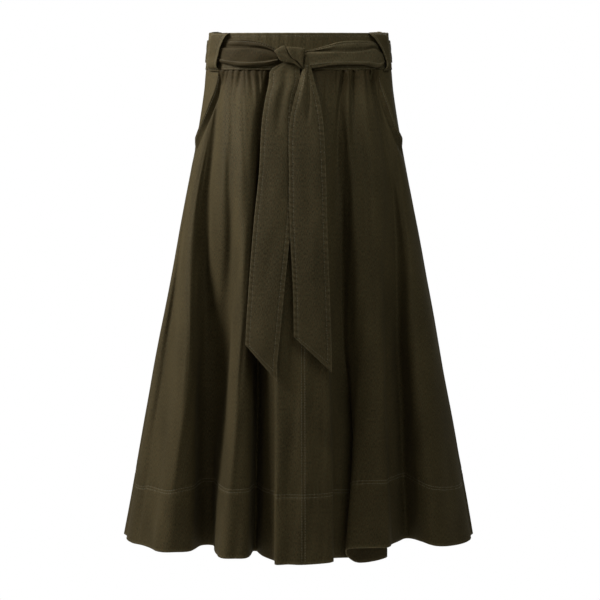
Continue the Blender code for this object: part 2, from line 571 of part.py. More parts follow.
def pad(name, outline, back, rim, crown, twill):
    """A crowned lump of cloth with this outline, from its flat back to its rim and its crown."""
    edge = np.array(outline) * MM
    middle = edge.mean(0)
    rings = [tail_point(*edge.T, np.full(len(edge), back))]
    for size, rise in KNOT_RINGS:
        ring = middle + (edge - middle) * size
        rings.append(tail_point(*ring.T, np.full(len(edge), rim + (crown - rim) * rise)))
    tip = tail_point(*middle[:, None], np.array([crown]))
    count = len(edge)
    faces = [tuple(range(count))]
    for ring in range(len(KNOT_RINGS)):
        for j in range(count):
            a, b = ring * count + j, ring * count + (j + 1) % count
            faces.append((a, a + count, b + count, b))
    last = len(KNOT_RINGS) * count
    faces += [(last + j, last + count, last + (j + 1) % count) for j in range(count)]
    return face_out(add_object(name, np.concatenate([*rings, tip]), faces, twill))


def face_out(made):
    """Turns an object's faces outward."""
    work = bmesh.new()
    work.from_mesh(made.data)
    bmesh.ops.recalc_face_normals(work, faces=work.faces)
    work.to_mesh(made.data)
    work.free()
    return made


def make_knot(twill):
    """The knot: the wrap, the fold over it and what they are tied round, joined in one."""
    knot = pad("belt_knot", WRAP, KNOT_BACK, KNOT_RIM, KNOT_CROWN - WRAP_BELOW, twill)
    lumps = (
        pad("fold_over", FOLD_OVER, KNOT_BACK, KNOT_RIM + 1.0 * MM, KNOT_CROWN, twill),
        pad("core", CORE, CORE_BACK, KNOT_RIM - 1.0 * MM, KNOT_RIM, twill),
    )
    for lump in lumps:
        lump.hide_render = True
        lump.display_type = "WIRE"
        join = knot.modifiers.new(lump.name, "BOOLEAN")
        join.operation = "UNION"
        join.solver = "EXACT"
        join.object = lump
    return knot


def main():
    for old in list(bpy.data.objects):
        bpy.data.objects.remove(old)
    twill = material("twill", TWILL, 0.85)
    belt = material("belt_twill", TWILL_DARK, 0.85)
    make_panel("front_left", LINE["side_left"], LINE["centre_front"], FRONT_STEPS, twill, True)
    make_panel("front_right", LINE["centre_front"], LINE["side_right"], FRONT_STEPS, twill, True)
    make_panel("back", LINE["side_right"], LINES, BACK_STEPS, twill, False)
    make_pocket_facing("pocket_facing_left", LINE["side_left"], LINE["hip_ridge"], twill)
    make_pocket_facing("pocket_facing_right", LINE["hip_ridge_right"], LINE["side_right"], twill)
    make_band_front(twill)
    make_band_back(twill)
    make_loop("loop_left", LOOP_LEFT, twill)
    make_loop("loop_right", LOOP_RIGHT, twill)
    make_belt_back(belt)
    make_belt_stretch("belt_left", BELT_LEFT, belt)
    make_belt_stretch("belt_right", BELT_RIGHT, belt)
    make_knot(belt)
    make_tail("tail_left", TAIL_LEFT, belt)
    make_tail("tail_right", TAIL_RIGHT, belt)


main()
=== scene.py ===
# %% [markdown]
# # A gathered A-line skirt with a tied belt
# A midi skirt in brushed cotton twill hangs filled out from its waist. The front half of the waistband is
# flat, the back half is drawn up by elastic, and a wide sewn belt is tied in front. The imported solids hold
# the pieces at their real size. Here each piece is made again as thin cloth, with its gathers, stitching
# and weave, and takes the place of its solid.

# %% Load the solids
import math

import bmesh
import bpy
import numpy as np
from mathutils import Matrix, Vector


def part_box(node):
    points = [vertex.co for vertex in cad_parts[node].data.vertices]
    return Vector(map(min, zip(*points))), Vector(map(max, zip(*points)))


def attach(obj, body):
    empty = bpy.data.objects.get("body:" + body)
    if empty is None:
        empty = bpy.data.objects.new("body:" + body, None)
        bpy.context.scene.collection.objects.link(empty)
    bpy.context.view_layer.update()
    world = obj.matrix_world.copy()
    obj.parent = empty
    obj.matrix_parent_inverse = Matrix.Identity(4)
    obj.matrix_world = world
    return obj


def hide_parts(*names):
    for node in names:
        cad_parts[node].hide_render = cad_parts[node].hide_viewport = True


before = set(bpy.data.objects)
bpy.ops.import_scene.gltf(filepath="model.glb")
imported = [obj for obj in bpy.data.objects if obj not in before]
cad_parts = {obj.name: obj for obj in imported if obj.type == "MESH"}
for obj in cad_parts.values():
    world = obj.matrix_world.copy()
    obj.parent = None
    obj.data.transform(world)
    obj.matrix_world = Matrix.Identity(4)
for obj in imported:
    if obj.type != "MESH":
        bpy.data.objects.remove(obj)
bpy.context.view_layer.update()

MM = 0.001


def add_object(name, data):
    """A new object that shows the data given."""
    made = bpy.data.objects.new(name, data)
    bpy.context.scene.collection.objects.link(made)
    return made


def point_at(made, place, target):
    """Puts a camera or a light at a place and turns it to a target."""
    made.location = place
    made.rotation_euler = (Vector(target) - Vector(place)).to_track_quat("-Z", "Y").to_euler()


print("nodes:", ", ".join(sorted(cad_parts)))

# %% [markdown]
# ## The camera
# A product picture is taken from well back, level with the waist, with a long lens, so that the garment
# hardly tapers. The lens is worked out from how wide a strip of the room the picture takes in.

# %% Set up the camera
CAMERA_BACK = 3.8
PICTURE_WIDTH = 0.9          # of the room, at the middle of the skirt
CAMERA_SIDE = 0.0019
LOOK_DOWN_TO = -0.3728
SENSOR = 36.0

camera_data = bpy.data.cameras.new("camera")
camera_data.sensor_width = SENSOR
camera_data.lens = SENSOR * CAMERA_BACK / PICTURE_WIDTH
camera = add_object("camera", camera_data)
point_at(camera, (CAMERA_SIDE, -CAMERA_BACK, 0.0), (CAMERA_SIDE, 0.0, LOOK_DOWN_TO))
bpy.context.scene.camera = camera
print("lens", round(camera_data.lens), "mm")

# %% [markdown]
# ## Sizes
# Heights are measured from the middle of the waistband, and drops from the waist seam, where the skirt is
# sewn to its band. The band's top is read from the solids, and the other sizes are the garment's own.

# %% Name the sizes
BAND_HEIGHT = 0.054
BAND_TOP_Z = float(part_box("waistband_front")[1][2])
SEAM_Z = BAND_TOP_Z - BAND_HEIGHT
SKIRT_DROP = 0.709
HEM_Z = SEAM_Z - SKIRT_DROP
SEAM_GAP = 0.3 * MM          # between the solids of two sewn pieces
SEWN_GAP = 0.01 * MM         # how far a sewn edge of the cloth is drawn in
CLOTH = 1.1 * MM             # one layer of brushed twill
HEM_CLOTH = 2.0 * MM         # where the hem is turned up
SOLID_CLOTH = 1.5 * MM       # the wall that the solids use
BAND_CLOTH = 2.0 * MM
BELT_CLOTH = 2.0 * MM
HEM_ROWS = (0.6092, 0.6136)  # how far down the skirt the hem's two rows of stitches are

# The oval that the folds stand out from: height, half width, depth in front, depth behind.
BASE = (
    (0.0290, 0.1328, 0.0990, 0.1000),
    (0.0000, 0.1350, 0.0993, 0.1003),
    (SEAM_Z, 0.1385, 0.1000, 0.1020),
    (-0.060, 0.1416, 0.1080, 0.1160),
    (-0.220, 0.1695, 0.1360, 0.1520),
    (-0.440, 0.2103, 0.1660, 0.1800),
    (HEM_Z, 0.2625, 0.1960, 0.2120),
)
FOLD_HEIGHTS = (SEAM_Z, -0.220, -0.440, HEM_Z)
print("skirt from", round(SEAM_Z, 4), "to", round(HEM_Z, 4))

# %% [markdown]
# ## The fold lines
# Cloth that hangs from a gathered waist falls in tubes. The crest, the turn and the valley of each tube are
# lines that run down the skirt. A row of the table gives a line's place round the skirt at four heights,
# how far it stands out from the oval, and how far the hem is raised there. Smooth curves through the rows
# then give the whole skirt, so one row changes one fold.

# %% List the fold lines
# angle: degrees round from the centre front at the seam, hip, knee and hem; + is to the right.
# out: millimetres outward from the oval at hip, knee and hem. lift: millimetres that the hem is raised.
FOLDS = (
    # name                 seam    hip   knee    hem    hip   knee    hem  lift
    ("side_left",          -90.0, -90.0, -90.0, -90.0,   0.0,   0.0,   0.0,   2.0),
    ("flare_left_edge",    -82.0, -82.0, -77.4, -72.5,   0.5,   1.5,   1.0,   4.0),
    ("flare_left_dip",     -75.0, -77.9, -73.1, -63.5,   0.0,  -9.0,  -4.0,   5.0),
    ("flare_left_crest",   -68.0, -68.9, -53.1, -50.4,   2.5,   5.5,   9.0,   5.0),
    ("flare_left_turn",    -63.0, -64.2, -49.8, -43.7,   0.0,   1.5,   0.0,   6.0),
    ("flare_left_fold",    -60.0, -63.2, -49.8, -40.7,  -8.0, -14.0, -26.0,   5.0),
    ("pocket_valley",      -57.0, -59.9, -54.8, -45.6, -19.0, -42.0, -74.0,   4.0),
    ("hip_ridge",          -51.5, -42.1, -47.4, -40.1,   0.0, -54.0, -78.0,   4.0),
    ("hip_dip",            -46.0, -36.8, -36.8, -29.6,  -5.0, -46.0, -24.0,   4.0),
    ("tube_left_crest",    -40.5, -29.1, -25.9, -24.9,   5.0,  -2.0,   8.0,   6.0),
    ("tube_left_middle",   -35.0, -24.5, -22.6, -20.5,   3.0,   0.0,   6.0,   6.0),
    ("tube_left_turn",     -27.5, -22.7, -20.2, -16.6,  -6.0, -12.0,  -6.0,   6.0),
    ("deep_valley_left",   -21.0, -22.5, -20.2, -17.7, -22.0, -46.0, -66.0,   4.0),
    ("centre_left_rise",   -16.0, -17.7, -14.3, -12.5,  -7.0, -22.0, -34.0,   2.0),
    ("centre_left_crest",  -11.0, -13.6, -10.0,  -8.2,   1.0,   3.0,   8.0,   0.0),
    ("centre_left_dip",     -5.0,  -7.2,  -3.8,  -3.0,   1.0,   2.0,   5.0,   0.0),
    ("centre_front",         2.0,   1.8,   1.7,   1.5,   2.0,   5.0,   8.0,   0.0),
    ("centre_right_crest",  10.0,   8.4,   8.3,   6.9,   1.5,   3.0,   5.0,   1.0),
    ("centre_right_turn",   15.5,  14.2,  12.6,  11.1,  -2.0,   0.0,   0.0,   2.0),
    ("centre_right_drop",   18.5,  18.5,  16.3,  14.2, -15.0, -40.0, -56.0,  -4.0),
    ("deep_valley_right",   22.0,  24.1,  23.6,  41.6, -22.0, -58.0, -80.0, -13.0),
    ("fold_right_edge",     27.0,  26.2,  25.6,  23.1, -12.0, -44.0, -57.0, -12.0),
    ("fold_right_rise",     32.5,  28.1,  27.6,  17.1,   3.0, -28.0, -42.0,  10.0),
    ("fold_right_crest",    38.0,  34.4,  32.4,  23.8,  -1.0, -13.0, -24.0,  15.0),
    ("fold_right_turn",     43.5,  39.8,  37.4,  32.0,   5.0, -13.0, -20.0,  14.0),
    ("hip_ridge_right",     49.0,  49.4,  45.0,  39.0,  -3.0, -30.0, -50.0,  12.0),
    ("side_valley",         56.0,  61.2,  58.3,  53.8, -12.0, -40.0, -70.0,  12.0),
    ("flare_right_turn",    64.0,  63.3,  54.2,  48.3,  -2.0,  -7.0, -24.0,  16.0),
    ("flare_right_crest",   72.0,  66.7,  58.5,  50.6,   3.5,   5.0,   3.0,  12.0),
    ("flare_right_edge",    82.0,  82.0,  76.1,  64.9,   0.5,   1.0,   1.0,   6.0),
    ("side_right",          90.0,  90.0,  90.0,  90.0,   0.0,   0.0,   0.0,   2.0),
    ("back_turn_a",       100.0, 100.0, 100.0, 100.0,   2.0,   4.0,   7.0,   1.0),
    ("back_valley_a",     110.0, 110.0, 109.0, 108.0,  -5.0, -12.0, -24.0,   3.0),
    ("back_crest_b",      121.0, 121.0, 121.0, 120.0,   4.0,   6.0,  10.0,   0.0),
    ("back_turn_b",       130.0, 129.0, 129.5, 130.0,   2.0,   4.0,   6.0,   0.0),
    ("back_valley_b",     139.0, 137.0, 135.0, 134.0,  -8.0, -18.0, -36.0,   4.0),
    ("back_crest_c",      149.0, 147.0, 144.5, 143.0,   3.0,   5.0,   9.0,   0.0),
    ("back_turn_c",       159.0, 156.0, 154.5, 154.0,   3.0,   5.0,   8.0,   0.0),
    ("back_valley_c",     168.0, 164.0, 161.0, 158.5,  -7.0, -17.0, -34.0,   4.0),
    ("back_crest_d",      178.0, 174.0, 171.5, 169.0,   3.0,   5.0,  10.0,   0.0),
    ("back_turn_d",       188.0, 185.0, 185.0, 186.0,   3.0,   5.0,   9.0,   0.0),
    ("back_valley_d",     197.0, 194.0, 192.0, 190.5,  -8.0, -19.0, -38.0,   4.0),
    ("back_crest_e",      207.0, 204.0, 202.0, 200.0,   3.0,   5.0,   9.0,   0.0),
    ("back_turn_e",       217.0, 213.0, 212.0, 211.0,   3.0,   5.0,   7.0,   0.0),
    ("back_valley_e",     226.0, 222.0, 219.0, 216.0,  -7.0, -17.0, -34.0,   4.0),
    ("back_crest_f",      235.0, 232.0, 230.0, 228.0,   3.0,   6.0,   9.0,   0.0),
    ("back_turn_f",       244.0, 242.0, 242.0, 241.0,   2.0,   4.0,   6.0,   0.0),
    ("back_valley_f",     252.0, 252.0, 252.0, 250.0,  -5.0, -11.0, -24.0,   3.0),
    ("back_crest_g",      261.0, 261.0, 261.0, 260.0,   2.0,   4.0,   7.0,   1.0),
)
LINE = {row[0]: number for number, row in enumerate(FOLDS)}
LINES = len(FOLDS)
LINE_ANGLES = np.array([row[1:5] for row in FOLDS])
LINE_OUT = np.array([(0.0, *row[5:8]) for row in FOLDS]) * MM
HEM_LIFT = np.array([row[8] for row in FOLDS]) * MM
print(LINES, "fold lines")

# %% [markdown]
# ## Curves through the tables
# Two kinds of curve are enough. One runs through values at rising places, such as heights. The other runs
# once round the skirt, through one value for each line, and closes on itself.

# %% Define the curves
def through(knots, values, at):
    """Smooth curves through the values given at rising knots, read at other places."""
    knots, values, at = np.asarray(knots), np.asarray(values, float), np.asarray(at, float)
    step = np.diff(knots)
    chord = np.diff(values, axis=0) / step.reshape(-1, *([1] * (values.ndim - 1)))
    slope = np.concatenate([chord[:1], (chord[1:] + chord[:-1]) / 2, chord[-1:]])
    i = np.clip(np.searchsorted(knots, at, side="right") - 1, 0, len(knots) - 2)
    h = step[i]
    s = np.clip((at - knots[i]) / h, 0.0, 1.0)
    shape = s.shape + (1,) * (values.ndim - 1)
    h, s = h.reshape(shape), s.reshape(shape)
    return ((1 + 2 * s) * (1 - s) ** 2 * values[i] + s * (1 - s) ** 2 * h * slope[i]
            + s * s * (3 - 2 * s) * values[i + 1] + s * s * (s - 1) * h * slope[i + 1])


def bend(before, start, end, after, s):
    """The place at share s of a curve from start to end that heeds the points on either side."""
    return 0.5 * (2 * start + (end - before) * s + (2 * before - 5 * start + 4 * end - after) * s ** 2
                  + (3 * start - before - 3 * end + after) * s ** 3)


def between_lines(line, values, turn=0.0):
    """Smooth closed curves through one value a line; turn is what a whole round adds."""
    first = np.floor(line).astype(int)
    four = [np.take_along_axis(values, ((first + k) % LINES)[:, None], 1)[:, 0]
            + turn * ((first + k) // LINES) for k in (-1, 0, 1, 2)]
    return bend(*four, line - first)


def hill(x, width):
    """A soft hill of height 1 over x = 0."""
    return np.exp(-(x / width) ** 2)


def ramp(x, start, end):
    """0 before start and 1 after end, smoothly in between."""
    s = np.clip((x - start) / (end - start), 0.0, 1.0)
    return s * s * (3 - 2 * s)


def unit(vectors):
    return vectors / np.linalg.norm(vectors, axis=1, keepdims=True)


print("half way up a fold:", round(float(through((0, 1), (0, 1), 0.5)), 2))

# %% Put a point on the oval
BASE_ROWS = np.array(BASE[::-1])
FOLD_LEVELS = np.array(FOLD_HEIGHTS[::-1])


def oval(angle, z, out):
    """Points at angles (degrees) round the skirt's oval at heights z, moved outward by out."""
    width, front, back = through(BASE_ROWS[:, 0], BASE_ROWS[:, 1:], z).T
    a = np.radians(angle)
    depth = np.where(np.cos(a) > 0, front, back)
    nx, ny = np.sin(a) / width, -np.cos(a) / depth
    length = np.hypot(nx, ny)
    return np.stack([width * np.sin(a) + out * nx / length,
                     -depth * np.cos(a) + out * ny / length, z + 0 * a], axis=1)


def seam_angle(line):
    """The angle at the waist seam of each line number."""
    line = np.asarray(line, float)
    values = np.broadcast_to(LINE_ANGLES[:, 0], (len(line), LINES))
    return between_lines(line, values, 360.0)


waist = oval(np.linspace(0.0, 360.0, 181), np.full(181, SEAM_Z), 0.0)
print("waist", round(float(np.linalg.norm(np.diff(waist, axis=0), axis=1).sum()), 3), "m round")

# %% [markdown]
# ## Gathers
# A gathering thread draws the cloth into small tucks at the seam. In front, beside the plain middle, there
# are a few, each with its own depth and length, so they are listed. Behind, the elastic draws up tuck
# after tuck, and a rule that gives each its own height and length makes them.

# %% Shape the gathers
# line: the valley between two puffs of cloth, as a line name and a step past it. depth: millimetres, minus
# for a puff. length: metres down before it is half gone. lean: lines that it moves sideways each 0.1 m.
# width: lines.
FRONT_TUCKS = (
    # line name          step  depth  length   lean  width
    ("hip_ridge",        0.00,  4.4,  0.016,  -3.20,  0.20),
    ("hip_ridge",        0.55,  3.8,  0.016,  -2.60,  0.17),
    ("hip_dip",          0.45,  3.4,  0.016,  -1.10,  0.15),
    ("tube_left_crest",  0.45,  4.6,  0.019,  -2.20,  0.26),
    ("tube_left_middle", 0.07,  2.0,  0.014,  -0.10,  0.10),
    ("tube_left_middle", 0.50,  4.0,  0.020,   0.60,  0.16),
    ("tube_left_turn",   0.26,  4.4,  0.036,   0.40,  0.18),
    ("tube_left_turn",   0.82,  3.0,  0.014,  -0.40,  0.13),
    ("deep_valley_left", 0.45,  9.0,  0.080,  -1.30,  0.24),
    ("deep_valley_right", 0.40,  3.0,  0.020,  -0.20,  0.16),
    ("fold_right_edge",  0.39, 10.5,  0.085,  -1.15,  0.26),
    ("fold_right_edge",  0.92, -3.4,  0.080,  -0.70,  0.22),
    ("fold_right_rise",  0.00,  3.0,  0.014,   0.20,  0.14),
    ("fold_right_rise",  0.77, 10.0,  0.100,  -0.50,  0.28),
    ("fold_right_crest", 0.80, -4.0,  0.080,   0.10,  0.34),
    ("fold_right_turn",  0.27,  3.4,  0.020,   0.30,  0.15),
    ("hip_ridge_right",  0.34, 11.0,  0.085,   0.95,  0.28),
    ("side_valley",      0.60, -3.0,  0.080,   0.70,  0.32),
)
TUCKS_FROM = 0.45            # how much of a tuck shows right at the seam, which holds it back
TUCKS_FULL = 0.018           # metres down, where the tucks reach their full depth
TUCKS_WIDEN = 11.0           # for each metre down
TUCKS_HOLD = 1.3             # above 1 a tuck holds its depth at first and then fades faster
LEAN_DROP = 0.1              # metres down over which a tuck moves by its lean
BACK_GATHERS = 3             # between two fold lines
GATHER_HEIGHT = 1.5 * MM
GATHER_HEIGHTS = (0.6, 0.8)  # the least share of that height, and how much more a gather may have
GATHER_FADE = 0.024
GATHER_FADES = (0.5, 1.2)
GATHER_DRIFT = ((0.35, 2.1, 0.0), (0.20, 5.3, 1.0))   # waves that set them unevenly: size, rate, start
GATHER_ROUND = 0.8           # below 1 a puff is fuller
GATHER_ENDS = 1.2            # fold lines over which they begin, beside the side seams


def own_share(number):
    """A value from 0 to 1 that belongs to each number and looks drawn by lot."""
    mixed_up = np.sin(number * 12.9898) * 43758.5453
    return mixed_up - np.floor(mixed_up)


def front_tucks(line, drop):
    """How far the listed tucks pull the cloth in."""
    pull = np.zeros(np.broadcast(line, drop).shape)
    for name, step, depth, length, lean, width in FRONT_TUCKS:
        aside = line - (LINE[name] + step + lean * drop / LEAN_DROP)
        wider = width * (1 + TUCKS_WIDEN * drop)
        pull += depth * MM * hill(aside, wider) * 0.5 ** ((drop / length) ** TUCKS_HOLD)
    return pull * (TUCKS_FROM + (1 - TUCKS_FROM) * ramp(drop, 0.0, TUCKS_FULL))


def back_gathers(line, drop):
    """The elastic's gathers, each as high and as long as its own number says."""
    behind = ramp(line, LINE["side_right"], LINE["side_right"] + GATHER_ENDS)
    behind = behind * (1 - ramp(line, LINES - GATHER_ENDS, LINES))
    place = BACK_GATHERS * line
    for size, rate, start in GATHER_DRIFT:
        place = place + size * np.sin(rate * line + start)
    number = np.floor(place)
    puff = np.sin(math.pi * (place - number)) ** GATHER_ROUND
    height = GATHER_HEIGHT * (GATHER_HEIGHTS[0] + GATHER_HEIGHTS[1] * own_share(number))
    fade = GATHER_FADE * (GATHER_FADES[0] + GATHER_FADES[1] * own_share(number + 0.5))
    return behind * height * (2 * puff - 1) * np.exp(-drop / fade)


def gathers(line, z):
    """How far the gathers under the waist seam push the cloth in or out."""
    drop = np.maximum(SEAM_Z - z, 0.0)
    around = np.mod(line, LINES)
    return back_gathers(around, drop) - front_tucks(around, drop)


print(len(FRONT_TUCKS), "tucks in front,", BACK_GATHERS, "to a fold line behind")

# %% [markdown]
# ## Pockets
# Each front is cut away on a slant at the hip. The cut edge is turned under and stitched, so it lies as a
# firm lip, and the cloth sinks a little below it. A facing fills the corner.

# %% Shape the pocket's edge
POCKET_ANGLE = 57.0
POCKET_DROP = 0.108
POCKET_CURVE = 0.72          # below 1 the slant starts steeper
POCKET_UNDERLAP = 0.014
POCKET_LIP = 4.0 * MM
POCKET_LIP_WIDTH = 0.007
POCKET_BESIDE = 6.0          # degrees that the lip and the facing reach past the slant
POCKET_BLEND = (-0.014, 0.004)   # the facing comes up level between these, past the edge
POCKET_TROUGH = 1.3          # its depth, for a lip of height 1
POCKET_TROUGH_PLACE = 2.6    # how far below the edge it is, in lip widths
POCKET_TROUGH_WIDTH = 1.3    # in lip widths
POCKET_FADE = 10.0           # degrees in front of the side seam, over which the lip flattens


def pocket_edge(angle):
    """Height of the front's top edge: the waist seam, and the slant of the pocket opening."""
    start = math.sin(math.radians(POCKET_ANGLE))
    share = np.clip((np.abs(np.sin(np.radians(angle))) - start) / (1.0 - start), 0.0, 1.0)
    return SEAM_Z - POCKET_DROP * share ** POCKET_CURVE


def pocket_lip(line, z):
    """The opening's edge stands off a little, with a soft trough below it."""
    angle = seam_angle(line)
    below = pocket_edge(angle) - z
    side = np.abs(angle)
    near = np.clip((side - POCKET_ANGLE + POCKET_BESIDE) / (2 * POCKET_BESIDE), 0.0, 1.0)
    near = near * np.clip((90.0 - side) / POCKET_FADE, 0.0, 1.0)
    trough = hill(below - POCKET_TROUGH_PLACE * POCKET_LIP_WIDTH, POCKET_TROUGH_WIDTH * POCKET_LIP_WIDTH)
    return near * POCKET_LIP * (hill(below, POCKET_LIP_WIDTH) - POCKET_TROUGH * trough)


print("pocket openings drop", POCKET_DROP, "m")

# %% [markdown]
# ## The cloth's surface
# A place on the cloth is a line number and a height. The folds give the large form. The frame of the
# large form (along the section, and outward) is used to lay finer things on it, because it doesn't
# waver with every tuck.

# %% Put a point on the skirt
BESIDE = 0.02                # fold lines from a point to its neighbours, which give its directions
ABOVE = 2.0 * MM             # to the neighbours above and below it


def skirt_surface(line, z, detail=True):
    """Points of the skirt's outer face at line numbers and heights, with or without fine gathers."""
    line, z = np.asarray(line, float), np.asarray(z, float)
    angles = through(FOLD_LEVELS, LINE_ANGLES.T[::-1], z)
    outs = through(FOLD_LEVELS, LINE_OUT.T[::-1], z)
    out = between_lines(line, outs)
    if detail:
        out = out + gathers(line, z) + pocket_lip(line, z)
    return oval(between_lines(line, angles, 360.0), z, out)


def skirt_frame(line, z):
    """Unit directions along the section and out of the large folds, at each point."""
    across = skirt_surface(line + BESIDE, z, False) - skirt_surface(line - BESIDE, z, False)
    up = skirt_surface(line, z + ABOVE, False) - skirt_surface(line, z - ABOVE, False)
    return unit(across), unit(np.cross(across, up))


def height_at(line, drop, has_pocket):
    """Height of the points that lie at one drop below the top edge of a panel."""
    top = np.full(len(line), SEAM_Z - SEAM_GAP / 2)
    if has_pocket:
        top = pocket_edge(seam_angle(line)) - SEAM_GAP / 2
    lift = between_lines(line, np.broadcast_to(HEM_LIFT, (len(line), LINES)))
    return top + (HEM_Z + lift - top) * drop / SKIRT_DROP


hem = np.linspace(0.0, LINES, LINES * 8 + 1)
hem_points = skirt_surface(hem, height_at(hem, SKIRT_DROP, False))
print("hem", round(float(np.linalg.norm(np.diff(hem_points, axis=0), axis=1).sum()), 3), "m round")

# %% [markdown]
# ## Creases and puckers
# Twill that has been folded and worn keeps soft troughs and ridges, long and shallow, and no two alike.
# Sewing draws the cloth up too: each row of stitches sits in a small groove, with short slanting puckers
# across it. Most of this is less than a millimetre or two deep, and it is what makes a surface look like
# cloth rather than like moulded plastic. A few broad creases go deeper, up to a centimetre. They turn the
# sides of the hanging tubes, so that the light falls off along them the way it does on real folds.

# %% List the creases
# line: where a crease starts, as a line name and a step past it. drop: metres below the panel's top edge.
# length: metres down. lean: lines that it moves sideways on its way. width: lines. depth: millimetres,
# minus for a trough.
CREASES = (
    # line name          step   drop  length   lean  width  depth
    ("flare_left_edge",  0.50, 0.150, 0.220,   0.30,  0.30,  -0.9),
    ("flare_left_dip",  -0.15, 0.240, 0.640,   0.00,  0.30,   3.0),
    ("flare_left_dip",   0.48, 0.240, 0.640,   0.00,  0.28,  -3.4),
    ("flare_left_crest", 0.20, 0.120, 0.260,   0.15,  0.22,   0.7),
    ("flare_left_turn",  0.10, 0.420, 0.160,   0.35,  0.30,  -0.8),
    ("hip_ridge",        0.10, 0.030, 0.110,   0.30,  0.22,  -1.1),
    ("flare_left_turn",  0.00, 0.200, 0.340,   0.00,  0.50,   4.5),
    ("hip_ridge",        0.80, 0.050, 0.160,   0.20,  0.24,   0.9),
    ("hip_dip",          0.50, 0.020, 0.090,   0.25,  0.20,  -1.2),
    ("hip_dip",          0.90, 0.180, 0.200,  -0.20,  0.30,  -0.8),
    ("tube_left_crest",  0.60, 0.030, 0.120,  -0.10,  0.22,  -1.0),
    ("tube_left_middle", 0.30, 0.300, 0.220,   0.20,  0.26,   0.7),
    ("centre_left_rise", 0.55, 0.220, 0.940,   0.00,  0.38, -10.0),
    ("centre_left_crest", 0.00, 0.280, 0.860,  0.00,  0.50,  -1.8),
    ("centre_left_dip",  0.00, 0.280, 0.860,   0.00,  0.50,   1.3),
    ("centre_front",     0.45, 0.360, 0.240,   0.20,  0.22,  -0.7),
    ("centre_right_crest", 0.00, 0.260, 0.860, 0.00,  0.50,   2.0),
    ("centre_right_turn", 0.30, 0.000, 0.560,  0.00,  0.42,  -7.0),
    ("deep_valley_right", 0.80, 0.030, 0.100,   0.20,  0.22,  -1.0),
    ("fold_right_edge",  0.60, 0.020, 0.130,   0.30,  0.24,   1.1),
    ("fold_right_rise",  0.40, 0.040, 0.090,   0.10,  0.20,  -1.2),
    ("fold_right_crest", 0.20, 0.090, 0.190,  -0.20,  0.26,  -1.0),
    ("fold_right_crest", 0.70, 0.340, 0.180,   0.15,  0.24,   0.7),
    ("hip_ridge_right",  0.00, 0.030, 0.140,   0.25,  0.24,   1.0),
    ("flare_right_turn", 0.40, 0.180, 0.230,   0.20,  0.28,  -0.9),
    ("flare_right_crest", 0.50, 0.300, 0.200,  -0.30,  0.32,   0.8),
    ("flare_right_edge", 0.30, 0.450, 0.160,   0.20,  0.34,  -0.8),
    ("back_turn_a",      0.40, 0.060, 0.180,   0.20,  0.26,  -1.1),
    ("back_crest_b",     0.30, 0.030, 0.120,  -0.20,  0.22,   1.1),
    ("back_crest_b",     0.80, 0.260, 0.210,   0.25,  0.28,  -0.9),
    ("back_valley_b",    0.60, 0.420, 0.170,   0.20,  0.30,   0.8),
    ("back_crest_c",     0.50, 0.050, 0.150,   0.15,  0.22,  -1.2),
    ("back_turn_c",      0.20, 0.330, 0.190,  -0.25,  0.28,   0.9),
    ("back_crest_d",     0.40, 0.040, 0.110,   0.20,  0.22,   1.0),
    ("back_crest_d",     0.70, 0.200, 0.260,  -0.20,  0.26,  -0.9),
    ("back_turn_d",      0.50, 0.470, 0.150,   0.30,  0.30,  -0.8),
    ("back_crest_e",     0.20, 0.060, 0.170,   0.20,  0.24,  -1.1),
    ("back_turn_e",      0.30, 0.280, 0.200,   0.20,  0.28,   0.8),
    ("back_crest_f",     0.40, 0.030, 0.130,  -0.15,  0.22,  -1.1),
    ("back_turn_f",      0.50, 0.380, 0.180,   0.25,  0.30,   0.8),
    ("back_crest_g",     0.30, 0.120, 0.220,  -0.20,  0.30,  -0.9),
)
CREASE_FULL = 0.8            # below 1 a crease keeps its depth nearer to its ends


def creases(line, drop):
    """How far the soft troughs and ridges push the cloth in or out."""
    push = np.zeros(len(line))
    for name, step, start, length, lean, width, depth in CREASES:
        along = (drop - start) / length
        aside = np.mod(line, LINES) - (LINE[name] + step + lean * along)
        ends = np.clip(np.sin(math.pi * np.clip(along, 0.0, 1.0)), 0.0, 1.0) ** CREASE_FULL
        push += depth * MM * ends * hill(aside, width)
    return push


print(len(CREASES), "creases")

# %% Shape the stitched hem and the seams
GROOVE_DEPTH = 0.5 * MM
GROOVE_WIDTH = 1.3 * MM
PUCKER_HEIGHT = 0.55 * MM
PUCKER_REACH = 0.011
PUCKERS = 4.3                # to a fold line
PUCKER_SLANT = 55.0          # how fast a pucker moves aside, in radians for each metre down
PUCKER_UNEVEN = (0.6, 0.4)   # the middle height of the puckers, and how far it goes up and down
PUCKER_DRIFT = 1.4           # how unevenly they are spaced
SEAM_PINCH = 0.5 * MM        # how far a sewn seam sinks
SEAM_PINCH_WIDTH = 0.06      # in fold lines
SAG = 0.35 * MM              # the slow unevenness of any hanging cloth
SAG_FROM = 0.12              # metres down, where it reaches its full size
SAG_WAVES = (
    # size, turn for each fold line, turn for each metre down, start
    (1.0, 4.1, 9.0, 0.0),
    (1.0, 2.7, -23.0, 1.3),
    (0.7, 6.3, 41.0, 0.5),
)


def hem_sewing(line, drop):
    """The grooves and puckers of the hem's two rows of stitches."""
    middle = sum(HEM_ROWS) / 2
    groove = sum(hill(drop - row, GROOVE_WIDTH) for row in HEM_ROWS)
    slant = PUCKER_SLANT * (drop - middle)
    uneven = PUCKER_UNEVEN[0] + PUCKER_UNEVEN[1] * np.sin(line * 3.1 + 0.4)
    pucker = np.sin(2 * math.pi * PUCKERS * line + PUCKER_DRIFT * np.sin(line * 2.9) + slant)
    return -GROOVE_DEPTH * groove + PUCKER_HEIGHT * uneven * pucker * hill(drop - middle, PUCKER_REACH)


